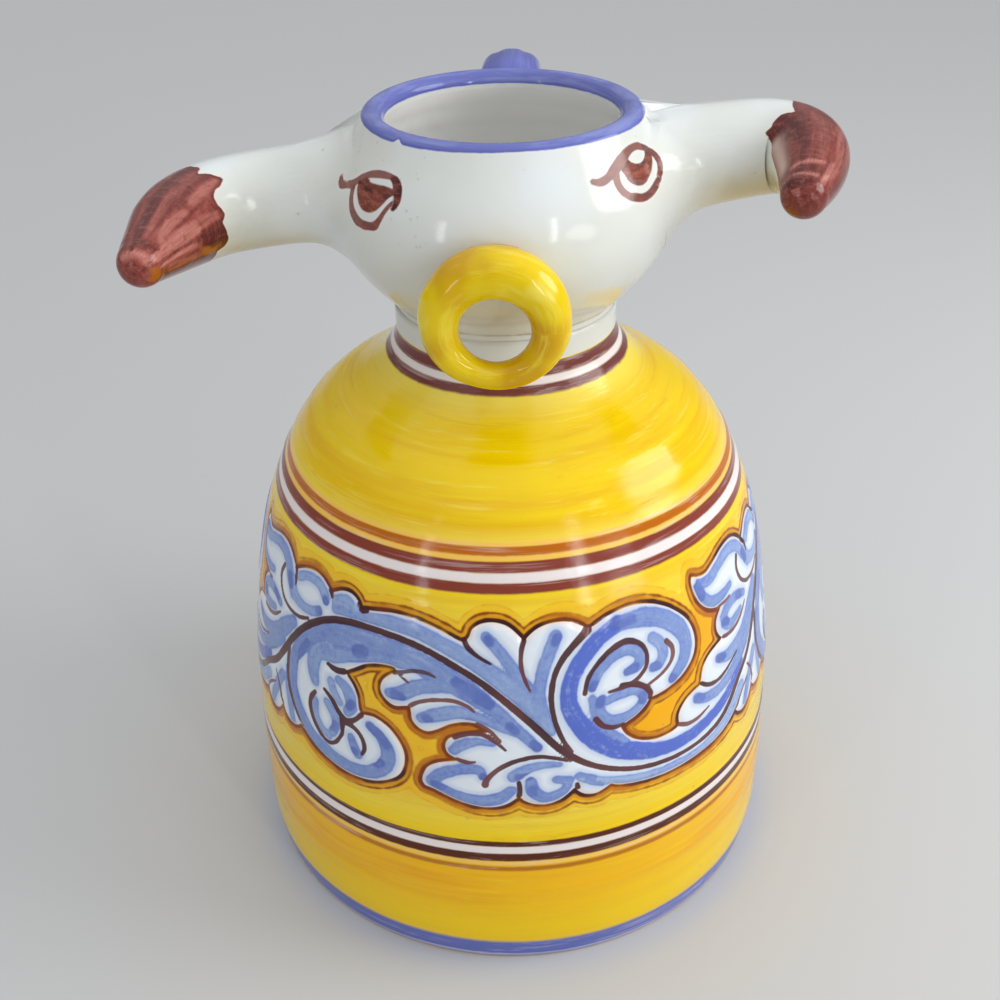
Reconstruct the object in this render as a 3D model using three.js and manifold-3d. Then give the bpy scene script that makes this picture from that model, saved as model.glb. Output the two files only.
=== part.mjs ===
// A bull jug in tin-glazed earthenware. A thrown bell-shaped body carries a thrown bowl, the
// bull's head, whose mouth is the jug's mouth. Two pulled horns, a nose ring and a pulled handle
// are luted on with slip. Every piece is fired fast to its neighbour, so nothing moves.
// Millimetres. +Z is up, -Y is the way the bull faces, +X is to its left, and the origin is the
// centre of the foot, on the axis that body and head were thrown about.
import * as THREE from "three";
import { mergeVertices } from "three/addons/utils/BufferGeometryUtils.js";
import Module from "manifold-3d";

const wasm = await Module();
wasm.setup();

// Body
const bodyHeight = 158; // foot to the seat that the head stands on
const footInset = 1.7; // how far the foot stands in from the belly
const footBevel = 0.8;
const footRise = 10; // height over which the wall swells from the foot
const bellyRadius = 72.7;
const bellyHeight = 21;
const bellyFullness = 51; // how far the wall keeps upright above the belly
const shoulderRadius = 41.4;
const shoulderSlope = 26; // degrees above level
const shoulderFullness = 27.5;
const neckSweep = 15; // height of the hollow curve between shoulder and neck
const neckRadius = 27.3;
const neckLength = 6;
const bodyWall = 6;
const floorThickness = 8;
const floorCorner = 9;

// Head
const headHeight = 47; // seat to the top of the lip
const creaseHeight = 1.4; // straight foot of the bowl, seen as a crease above the neck
const bowlFlare = 46; // degrees above level, where the bowl leaves the crease
const bowlFullness = 10;
const cheekRadius = 40.8;
const cheekHeight = 25;
const cheekUpright = 8.5;
const lipRadius = 32.6; // outside of the lip
const lipLean = 27; // degrees that the wall leans in at the lip
const headWall = 5.8;

// Horns. Heights are above the head's seat, x is towards the side (+1 is +X), y is backwards.
const rightHorn = {
  side: -1,
  root: { x: 30, y: 0.5, height: 28.2 },
  sweep: { x: 67.3, y: -1.3, height: 22.8 }, // where the root's direction aims
  bend: { x: 72.8, y: -4, height: 27.1 }, // where the tip's direction comes from
  tip: { x: 76.2, y: -46, height: 24.4 },
  radii: [16.5, 14.1, 11.8, 11.4, 9.9, 3.9],
};
const leftHorn = {
  side: 1,
  root: { x: 30, y: 2.8, height: 31.2 },
  sweep: { x: 61.9, y: 4.7, height: 35.9 },
  bend: { x: 77.8, y: 9.3, height: 38.3 },
  tip: { x: 64.9, y: -27.3, height: 32.4 },
  radii: [16.8, 14.5, 12.2, 11.2, 9.2, 4.1],
};
const hornStations = [0, 0.12, 0.25, 0.45, 0.7, 1]; // shares of the length that the radii stand at
const hornTipRadius = 5.2;

// Nose ring
const ringRadius = 12.1; // centre line
const ringTube = 4.45;
const ringThickening = 0.29; // share that the tube gains towards its top, and loses at its bottom
const ringHeight = 12.4; // centre above the head's seat
const ringPress = 1.5; // how far the soft ring was pressed against the head

// Handle
const handleWidth = 15;
const handleThickness = 9.6;
const handleEndWidth = 20.2; // both ends spread where they are luted on
const handleEndThickness = 13;
const handleInset = 3.7; // furthest point of the centre line, in from the belly's radius
const handleTop = 38.5; // where it leaves the head, above the head's seat
const handleArch = 3.6; // how far the grip arches above where it leaves the head
const handleBend = 174; // height of its furthest point
const handleFoot = 125; // height where it lands on the shoulder

// Joints and facets
const slipGap = 0.3; // slip between two luted pieces
const rootDepth = 9; // how deep a luted end starts below its neighbour's surface
const roundSides = 56;
const curveSteps = 7; // points on each stretch of a thrown profile
const cornerSteps = 4;
const domeSteps = 4; // rings on a pulled piece's rounded tip
const hornSteps = 18;
const hornSides = 20;
const handleSteps = 26;
const handleSides = 16;
const ringSteps = 40;
const ringSides = 14;
const taperSteps = 80;

// Pulls of the curves, as shares of the lengths they act on
const footPull = { out: 0.7, up: 0.5 };
const neckPull = { shoulder: 0.3, neck: 0.45 };
const archPull = 0.24;
const dropPull = 0.6;
const fallPull = { side: 0.4, out: 0.9, up: 0.5, under: 0.1 };
const handleEndShare = 0.22; // share of the handle's length that each end spreads over
const throatShare = 0.6; // height of the throat's upright wall, as a share of the head's wall

const footRadius = bellyRadius - footInset;
const handleReach = bellyRadius - handleInset;
const bodySeat = bodyHeight;
const degrees = THREE.MathUtils.degToRad;
const up = new THREE.Vector3(0, 0, 1);
const across = new THREE.Vector3(1, 0, 0);

function solidOf(geometry) {
  const bare = new THREE.BufferGeometry().setAttribute("position", geometry.getAttribute("position"));
  if (geometry.index) bare.setIndex(geometry.index);
  const merged = mergeVertices(bare, 1e-4);
  return new wasm.Manifold(
    new wasm.Mesh({
      numProp: 3,
      vertProperties: new Float32Array(merged.getAttribute("position").array),
      triVerts: new Uint32Array(merged.index.array),
    }),
  );
}

function geometryOf(solid) {
  const mesh = solid.getMesh();
  const geometry = new THREE.BufferGeometry();
  geometry.setAttribute("position", new THREE.BufferAttribute(mesh.vertProperties, 3));
  geometry.setIndex(new THREE.BufferAttribute(mesh.triVerts, 1));
  geometry.computeVertexNormals();
  return geometry;
}

// A profile of (radius, height) points, thrown about +Z.
function thrown(profile) {
  return new THREE.LatheGeometry(profile, roundSides).rotateX(Math.PI / 2);
}

// The same profile moved outwards by a distance, or inwards by a negative one.
function offset(profile, distance) {
  return profile.map((point, i) => {
    const before = profile[Math.max(i - 1, 0)];
    const after = profile[Math.min(i + 1, profile.length - 1)];
    const along = after.clone().sub(before).normalize();
    return new THREE.Vector2(point.x + along.y * distance, point.y - along.x * distance);
  });
}

// Radius of a rising profile at a height.
function radiusAt(profile, height) {
  const i = profile.findIndex((point, k) => k > 0 && point.y >= height);
  const above = profile[i < 0 ? profile.length - 1 : i];
  const below = profile[i < 0 ? profile.length - 2 : i - 1];
  return THREE.MathUtils.mapLinear(height, below.y, above.y, below.x, above.x);
}

// Outside of the body, from just above the foot's bevel to the head's seat.
function bodyOutside() {
  const neckFoot = bodyHeight - neckLength;
  const shoulderHeight = neckFoot - neckSweep;
  const hollow = neckSweep * neckPull.shoulder;
  const lean = new THREE.Vector2(Math.cos(degrees(shoulderSlope)), -Math.sin(degrees(shoulderSlope)));
  const path = new THREE.Path();
  path.moveTo(footRadius, footBevel);
  path.bezierCurveTo(
    footRadius + footInset * footPull.out, footRise * footPull.up,
    bellyRadius, footRise,
    bellyRadius, bellyHeight,
  );
  path.bezierCurveTo(
    bellyRadius, bellyHeight + bellyFullness,
    shoulderRadius + shoulderFullness * lean.x, shoulderHeight + shoulderFullness * lean.y,
    shoulderRadius, shoulderHeight,
  );
  path.bezierCurveTo(
    shoulderRadius - hollow * lean.x, shoulderHeight - hollow * lean.y,
    neckRadius, neckFoot - neckSweep * neckPull.neck,
    neckRadius, neckFoot,
  );
  const wall = path.getPoints(curveSteps);
  return [...wall, new THREE.Vector2(neckRadius, bodyHeight)];
}

function bodyProfile() {
  const outside = bodyOutside();
  const cornerCentre = new THREE.Vector2(bellyRadius - bodyWall - floorCorner, floorThickness + floorCorner);
  const inside = offset(outside, -bodyWall).filter((point) => point.y > cornerCentre.y);
  const corner = new THREE.Path().absarc(cornerCentre.x, cornerCentre.y, floorCorner, 0, -Math.PI / 2, true);
  return [
    new THREE.Vector2(0, 0),
    new THREE.Vector2(footRadius - footBevel, 0),
    ...outside,
    ...inside.reverse(),
    ...corner.getPoints(cornerSteps),
    new THREE.Vector2(0, floorThickness),
  ];
}

// Outside of the head above its seat, from the crease to the lip.
function headOutside() {
  const lipEdge = headHeight - (headWall / 2) * (1 - Math.sin(degrees(lipLean)));
  const flare = new THREE.Vector2(Math.cos(degrees(bowlFlare)), Math.sin(degrees(bowlFlare)));
  const lean = new THREE.Vector2(Math.sin(degrees(lipLean)), -Math.cos(degrees(lipLean)));
  const path = new THREE.Path();
  path.moveTo(neckRadius, 0);
  path.lineTo(neckRadius, creaseHeight);
  path.bezierCurveTo(
    neckRadius + bowlFullness * flare.x, creaseHeight + bowlFullness * flare.y,
    cheekRadius, cheekHeight - bowlFullness,
    cheekRadius, cheekHeight,
  );
  path.bezierCurveTo(
    cheekRadius, cheekHeight + cheekUpright,
    lipRadius + cheekUpright * lean.x, lipEdge + cheekUpright * lean.y,
    lipRadius, lipEdge,
  );
  return path.getPoints(curveSteps);
}

function headProfile() {
  const outside = headOutside();
  const throat = neckRadius - bodyWall;
  const throatTop = headWall * throatShare;
  const inside = offset(outside, -headWall).filter((point) => point.x > throat && point.y > headWall);
  const outerEdge = outside[outside.length - 1];
  const innerEdge = inside[inside.length - 1];
  const middle = outerEdge.clone().add(innerEdge).divideScalar(2);
  const start = Math.atan2(outerEdge.y - middle.y, outerEdge.x - middle.x);
  const lip = new THREE.Path().absarc(middle.x, middle.y, headWall / 2, start, start + Math.PI, false);
  return [
    ...outside,
    ...lip.getPoints(curveSteps).slice(1, -1),
    ...inside.reverse(),
    new THREE.Vector2(throat, throatTop),
    new THREE.Vector2(throat, 0),
    outside[0],
  ];
}

// The solid that a luted piece is cut with: a filled form, one slip gap larger than the clay. It
// goes on upright above the outside, so that a root as high as the lip is cut there too.
function filled(outside, gap) {
  const grown = offset(outside, gap);
  const first = grown[0];
  const last = grown[grown.length - 1];
  const top = last.y + rootDepth;
  const profile = [
    new THREE.Vector2(0, first.y), ...grown, new THREE.Vector2(last.x, top), new THREE.Vector2(0, top),
  ];
  return solidOf(thrown(profile));
}

// Clay pulled or rolled along a path. sizeAt gives the section's half sizes along the given
// axis and square to it. With a tip radius the far end is rounded, or else it ends flat.
function pulled(path, axis, sizeAt, steps, sides, tipRadius = 0) {
  const length = path.getLength();
  const domeShare = tipRadius / length;
  const rings = [];
  for (let i = 0; i <= steps; i++) rings.push({ t: ((1 - domeShare) * i) / steps, scale: 1 });
  for (let i = 1; tipRadius > 0 && i < domeSteps; i++) {
    const angle = ((Math.PI / 2) * i) / domeSteps;
    rings.push({ t: 1 - domeShare + domeShare * Math.sin(angle), scale: Math.cos(angle) });
  }
  const positions = [];
  for (const { t, scale } of rings) {
    const centre = path.getPointAt(t);
    const tangent = path.getTangentAt(t);
    const second = new THREE.Vector3().crossVectors(tangent, axis).normalize();
    const first = new THREE.Vector3().crossVectors(second, tangent).normalize();
    const size = sizeAt(Math.min(t, 1 - domeShare));
    for (let k = 0; k < sides; k++) {
      const angle = (2 * Math.PI * k) / sides;
      const point = centre.clone();
      point.addScaledVector(first, scale * size.first * Math.cos(angle));
      point.addScaledVector(second, scale * size.second * Math.sin(angle));
      positions.push(...point);
    }
  }
  const startCentre = rings.length * sides;
  positions.push(...path.getPointAt(0), ...path.getPointAt(1));
  const faces = [];
  for (let k = 0; k < sides; k++) {
    const next = (k + 1) % sides;
    faces.push(startCentre, next, k);
    for (let i = 0; i < rings.length - 1; i++) {
      const low = i * sides;
      const high = low + sides;
      faces.push(low + k, high + next, high + k, low + k, low + next, high + next);
    }
    const last = (rings.length - 1) * sides;
    faces.push(startCentre + 1, last + k, last + next);
  }
  const geometry = new THREE.BufferGeometry();
  geometry.setAttribute("position", new THREE.Float32BufferAttribute(positions, 3));
  geometry.setIndex(faces);
  return solidOf(geometry);
}

// A horn leaves the cheek with a flared root, sweeps out, then curls forward to a blunt tip.
function hornSolid(outside, { side, root, sweep, bend, tip, radii }) {
  const at = (point) => new THREE.Vector3(side * point.x, point.y, point.height);
  const path = new THREE.CubicBezierCurve3(at(root), at(sweep), at(bend), at(tip));
  const taper = new THREE.SplineCurve(radii.map((radius, i) => new THREE.Vector2(hornStations[i], radius)));
  const sizeAt = (t) => {
    const radius = radiusAlong(taper, t);
    return { first: radius, second: radius };
  };
  const horn = pulled(path, up, sizeAt, hornSteps, hornSides, hornTipRadius);
  return horn.subtract(filled(outside, slipGap));
}

// The height of a spline drawn as (share of the length, radius), at a share of the length.
function radiusAlong(spline, t) {
  const samples = spline.getPoints(taperSteps);
  const i = Math.max(1, samples.findIndex((point) => point.x >= t));
  const [low, high] = [samples[i - 1], samples[i]];
  return THREE.MathUtils.mapLinear(t, low.x, high.x, low.y, high.y);
}

// The ring hangs upright against the cheeks, pressed on at its thicker top.
function ringSolid(outside) {
  const ring = new THREE.TorusGeometry(ringRadius, ringTube, ringSides, ringSteps);
  const position = ring.getAttribute("position");
  for (let i = 0; i < position.count; i++) {
    const point = new THREE.Vector3().fromBufferAttribute(position, i);
    const centre = new THREE.Vector3(point.x, point.y, 0).setLength(ringRadius);
    const thickness = 1 + (ringThickening * centre.y) / ringRadius;
    position.setXYZ(i, ...point.sub(centre).multiplyScalar(thickness).add(centre));
  }
  const touch = radiusAt(outside, ringHeight + ringRadius);
  const topTube = ringTube * (1 + ringThickening);
  ring.rotateX(Math.PI / 2).translate(0, -(touch + topTube - ringPress), ringHeight);
  return solidOf(ring).subtract(filled(outside, slipGap));
}

// The handle springs from below the lip, arches over and comes down to the shoulder.
function handleSolid(bodyOut, headOut) {
  const leave = radiusAt(headOut, handleTop) - rootDepth;
  const land = radiusAt(bodyOut, handleFoot) - rootDepth;
  const topHeight = bodySeat + handleTop;
  const at = (y, z) => new THREE.Vector3(0, y, z);
  const path = new THREE.CurvePath();
  const crown = at((leave + handleReach) / 2, topHeight + handleArch);
  const level = (handleReach - leave) * archPull;
  path.add(
    new THREE.CubicBezierCurve3(at(leave, topHeight - handleArch), at(leave + level, topHeight),
      at(crown.y - level, crown.z), crown),
  );
  const drop = (crown.z - handleBend) * dropPull;
  path.add(
    new THREE.CubicBezierCurve3(crown, at(crown.y + level, crown.z),
      at(handleReach, handleBend + drop), at(handleReach, handleBend)),
  );
  const fall = (handleBend - handleFoot) * fallPull.side;
  path.add(
    new THREE.CubicBezierCurve3(at(handleReach, handleBend), at(handleReach, handleBend - fall),
      at(land + fall * fallPull.out, handleFoot + fall * fallPull.up),
      at(land, handleFoot - fall * fallPull.under)),
  );
  const sizeAt = (t) => {
    const end = Math.max(0, 1 - Math.min(t, 1 - t) / handleEndShare);
    return {
      first: THREE.MathUtils.lerp(handleWidth, handleEndWidth, end * end) / 2,
      second: THREE.MathUtils.lerp(handleThickness, handleEndThickness, end * end) / 2,
    };
  };
  const headBlank = filled(headOut, slipGap).translate([0, 0, bodySeat]);
  const handle = pulled(path, across, sizeAt, handleSteps, handleSides);
  return handle.subtract(headBlank).subtract(filled(bodyOut, slipGap));
}

function glaze(color, roughness) {
  return new THREE.MeshStandardMaterial({ color, roughness, metalness: 0 });
}

const yellowGlaze = glaze(0xe3b40a, 0.14);
const whiteGlaze = glaze(0xdcddd6, 0.14);
const blueGlaze = glaze(0x5a60c0, 0.16);
const amberGlaze = glaze(0xdcb416, 0.12);

function piece(name, geometry, material) {
  const mesh = new THREE.Mesh(geometry, material);
  mesh.name = name;
  return mesh;
}

const bodyOut = bodyOutside();
const headOut = headOutside();

const head = new THREE.Group();
head.position.z = bodySeat;
head.add(piece("head", thrown(headProfile()), whiteGlaze));
head.add(piece("horn_right", geometryOf(hornSolid(headOut, rightHorn)), whiteGlaze));
head.add(piece("horn_left", geometryOf(hornSolid(headOut, leftHorn)), whiteGlaze));
head.add(piece("nose_ring", geometryOf(ringSolid(headOut)), amberGlaze));

const jug = new THREE.Group();
jug.add(piece("body", thrown(bodyProfile()), yellowGlaze));
jug.add(head);
jug.add(piece("handle", geometryOf(handleSolid(bodyOut, headOut)), blueGlaze));

export default jug;
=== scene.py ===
"""Looks of a bull jug in tin-glazed earthenware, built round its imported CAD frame.

The clay is thrown (a profile turned about Z) or pulled (a section carried along a path). The
painter's brush strokes are kept as outlines and centre lines. Each vertex stores how far it lies
from them, and the materials turn those distances into colour.

Shapes are worked out in millimetres and stored in metres. +Z is up and the bull faces -Y.
Angles round the jug are degrees from -Y towards +X.
"""

import math

import bmesh
import bpy
import numpy as np
from mathutils import Matrix, Vector, noise


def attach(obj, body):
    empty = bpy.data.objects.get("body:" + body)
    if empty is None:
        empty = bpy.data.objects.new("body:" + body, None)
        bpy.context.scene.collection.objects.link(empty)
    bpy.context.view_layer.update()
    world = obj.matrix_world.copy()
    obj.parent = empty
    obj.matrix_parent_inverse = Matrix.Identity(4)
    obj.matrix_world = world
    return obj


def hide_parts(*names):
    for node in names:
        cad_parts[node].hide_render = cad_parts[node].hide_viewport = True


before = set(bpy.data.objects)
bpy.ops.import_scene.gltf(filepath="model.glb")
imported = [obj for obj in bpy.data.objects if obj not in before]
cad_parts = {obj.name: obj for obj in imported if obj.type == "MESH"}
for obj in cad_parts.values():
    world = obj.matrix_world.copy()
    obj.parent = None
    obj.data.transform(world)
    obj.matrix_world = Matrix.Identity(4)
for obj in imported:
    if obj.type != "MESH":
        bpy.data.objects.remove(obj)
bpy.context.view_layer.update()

MM = 0.001
UP = np.array([0.0, 0.0, 1.0])
X_AXIS = np.array([1.0, 0, 0])
Y_AXIS = (0, 1, 0)

# Sizes of the clay, in millimetres, as in the CAD source. The spread, sweeps and shares are parts
# of other sizes.
BODY_HEIGHT = 158
BELLY_RADIUS = 72.7
FOOT_RADIUS = 71
FOOT_BEVEL = 0.8
FOOT_RISE = 10
FOOT_SPREAD = 0.7
BELLY_HEIGHT = 21
BELLY_FULLNESS = 51
SHOULDER_RADIUS = 41.4
SHOULDER_SLOPE = math.radians(26)
SHOULDER_FULLNESS = 27.5
NECK_SWEEP = 15
NECK_SWEEP_OUT = 0.3
NECK_SWEEP_IN = 0.45
NECK_RADIUS = 27.3
NECK_LENGTH = 6
BODY_WALL = 6
FLOOR_THICKNESS = 8
FLOOR_CORNER = 9

HEAD_HEIGHT = 47
CREASE_HEIGHT = 1.4
BOWL_FLARE = math.radians(46)
BOWL_FULLNESS = 10
CHEEK_RADIUS = 40.8
CHEEK_HEIGHT = 25
CHEEK_UPRIGHT = 8.5
LIP_RADIUS = 32.6
LIP_LEAN = math.radians(27)
HEAD_WALL = 5.8
THROAT_TOP = 3.5

# A horn's side is 1 on the bull's left and -1 on its right. The joint is the radius of its rounded
# joint with the head at the top of its root.
RIGHT_HORN = {
    "path": [(-30, 0.5, 186.2), (-67.3, -1.3, 180.8), (-72.8, -4, 185.1), (-76.2, -46, 182.4)],
    "radii": [16.5, 14.1, 11.8, 11.4, 9.9, 3.9],
    "side": -1,
    "top_joint": 6.0,
}
LEFT_HORN = {
    "path": [(30, 2.8, 189.2), (61.9, 4.7, 193.9), (77.8, 9.3, 196.3), (64.9, -27.3, 190.4)],
    "radii": [16.8, 14.5, 12.2, 11.2, 9.2, 4.1],
    "side": 1,
    "top_joint": 2.5,
}
HORN_STATIONS = [0, 0.12, 0.25, 0.45, 0.7, 1]
HORN_TIP = 5.2

RING_RADIUS = 12.1
RING_TUBE = 4.45
RING_THICKENING = 0.29
RING_CENTRE = (0, -45.0, 170.4)

HANDLE_WIDTH = 15
HANDLE_THICKNESS = 9.6
HANDLE_END_WIDTH = 20.2
HANDLE_END_THICKNESS = 13
HANDLE_END_SHARE = 0.22
HANDLE_REACH = 69
HANDLE_TOP = 196.5
HANDLE_ARCH = 3.6
HANDLE_BEND = 174
HANDLE_FOOT = 125
HANDLE_START = 27.5
HANDLE_LAND = 44.5

# Joints: radii of the rounded clay, how deep the pulled pieces start in the wall, and how deep
# their first ring of points lies in it
HORN_JOINT = 7.5
RING_JOINT = 1.3
HANDLE_JOINT = 3.6
HANDLE_LIP_JOINT = 1.8
HORN_ROOT = 3.6
HANDLE_ROOT = 3.4
ROOT_DEPTH = 2.9

# How far the horns' skin stays inside that of the solids
HORN_CLEARANCE = 0.1

# Heights between which the scroll is painted, and the degrees after which it repeats
SCROLL_LOW = 50.5
SCROLL_HIGH = 109
SCROLL_REPEAT = 120

# Meshes: spacing of rows in millimetres, and columns of the thrown pieces. The body has a third of
# its columns off the scroll. Pulled pieces have (rows, sides).
FOOT_ROW = 2.1
SCROLL_ROW = 0.61
SHOULDER_ROW = 1.7
CAVITY_ROW = 3.2
HEAD_ROW = 0.62
THROAT_ROW = 1.5
SCROLL_COLUMNS = 720
HEAD_COLUMNS = 420
HORN_GRID = (150, 96)
RING_GRID = (129, 56)
HANDLE_GRID = (190, 72)

# Radii at which painted marks are laid flat on the body, the head and the horns
CHART_RADIUS = 70
HEAD_CHART_RADIUS = 36
HORN_CHART_RADIUS = 10.5

# Ridges that the thrower's fingers left: height, radians for each millimetre up the wall and, on
# the outside, turns of the spiral
THROWING_RIDGES = [(0.12, 1.05, 1), (0.07, 2.3, -2)]
CAVITY_RIDGES = (0.35, 0.7)
BOWL_RIDGES = (0.15, 1.1)

# Modelled scroll: how far leaves and washes stand out, and how deep its lines are incised
LEAF_RELIEF = 0.32
WASH_RELIEF = 0.06
CONTOUR_DEPTH = 0.3
SECOND_CONTOUR_DEPTH = 0.1
VEIN_DEPTH = 0.16

# Distances to outlines and to strokes are worked out up to these
OUTLINE_REACH = 9.0
STROKE_REACH = 6.0

# Brush strokes. A point is (angle, height) in degrees and millimetres. Corners of an outline have
# a third value, 1. A stroke's points have its half width in millimetres as the third value.

UPPER_LEAVES = [
    (-52.2, 102, 1), (-50.8, 103), (-48.5, 104.3), (-45.5, 105.2), (-42.7, 105), (-40.5, 103.8),
    (-39.2, 102.3, 1), (-37.8, 103.4), (-35.5, 104.6), (-33.2, 104.7), (-31.5, 103.7), (-30.5, 102, 1),
    (-27, 102.8), (-23, 103.6), (-19, 103.7), (-15, 103), (-11, 101.6), (-8.3, 100.2), (-6.6, 99.6, 1),
    (-5.6, 101.2), (-5, 103), (-3.2, 104.4), (-0.5, 104.8), (2, 104), (4, 102.2), (5.5, 100.2, 1),
    (7, 102), (9, 103.4), (11.5, 104.1), (14.5, 104), (17, 102.9), (18.9, 101.3, 1), (21, 102.3),
    (24, 103.6), (28, 104.3), (32, 103.8), (36, 102), (39.5, 99.2), (42.5, 95.5), (44, 91.5),
    (44.1, 87.5), (42.8, 84.3), (40, 81.7), (36.5, 80.2), (33.5, 79.6), (31.6, 79.6, 1), (30.4, 77.9),
    (28.3, 76.1), (26, 75), (24.6, 74.3, 1), (25.6, 71.8), (27.5, 69.5), (30, 67.9), (33, 66.9),
    (36.3, 66.9), (38.9, 67.7, 1), (38.4, 69.6), (38.9, 71.9), (40.6, 74), (43, 75.2), (45, 75.6, 1),
    (45.4, 77.8), (46.2, 80.3), (48, 82.2), (50.5, 83.3), (53.3, 84, 1), (52, 85.8), (51.4, 88),
    (51.9, 90.2), (53.2, 91.7), (54.4, 92.7, 1), (52, 93.3), (49.5, 94.6), (47.3, 97), (46, 100),
    (45.5, 103), (45.8, 104.6, 1), (48, 103.6), (50.5, 103.3), (53.5, 104.3), (57, 105.6),
    (60.5, 106.1), (63.5, 105.6), (66, 103.9),
]
LOWER_LEAVES = [
    (-54.5, 61.5, 1), (-53.3, 59), (-51, 57.8), (-48.5, 58.6), (-47, 60.2, 1), (-45.5, 59.3),
    (-42, 57.2), (-38, 55.7), (-33, 54.8), (-28, 55.3), (-24, 57), (-20.7, 59.8), (-19.3, 63),
    (-19, 67), (-20.2, 70.5), (-22.5, 73.5), (-25.5, 75), (-28, 74.7), (-28.8, 74, 1), (-29.6, 76),
    (-30, 79), (-31, 81.5), (-32.6, 83.4), (-33.5, 84.6, 1), (-31, 86.6), (-28, 89), (-24.5, 90.3),
    (-21.5, 90.5), (-20.8, 89.3, 1), (-22.5, 88), (-24, 86), (-24.4, 83.5), (-23.3, 81.5),
    (-21.3, 80.3), (-19.3, 80.8), (-17.8, 81.3, 1), (-17.5, 79.5), (-17.2, 77.5), (-15.8, 75.8),
    (-14, 75.3), (-12, 76.4), (-9.5, 78.3), (-6.5, 79.3), (-4, 79), (-1.3, 76.8, 1), (-4.5, 76.3),
    (-7, 75.6), (-8.7, 74.8), (-9.8, 74), (-10.4, 72), (-9.8, 70), (-8, 68.8), (-6.5, 68.4, 1),
    (-9, 67.8), (-12, 66.7), (-14, 65), (-15, 62.5), (-15.2, 60.5), (-14.6, 59.2, 1), (-13, 58.8),
    (-10.5, 57.5), (-7.5, 56), (-4, 55), (-1, 55), (1.5, 56), (3.3, 57.7), (3.9, 58.6, 1), (5, 57),
    (7, 55.8), (9.5, 55.5), (12, 56.5), (13.8, 58.2), (14.9, 59.5, 1), (15.8, 58), (17.3, 56.8),
    (19.3, 56.5), (21, 57.3), (22.4, 58.3, 1), (24, 57.3), (28, 56.2), (34, 55.3), (40, 55.2),
    (46, 55.5), (51, 56.2), (54.5, 57.5), (57, 59.3, 1), (58.5, 57.3), (61, 56.2), (63.3, 57.5),
    (65, 60),
]

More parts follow.
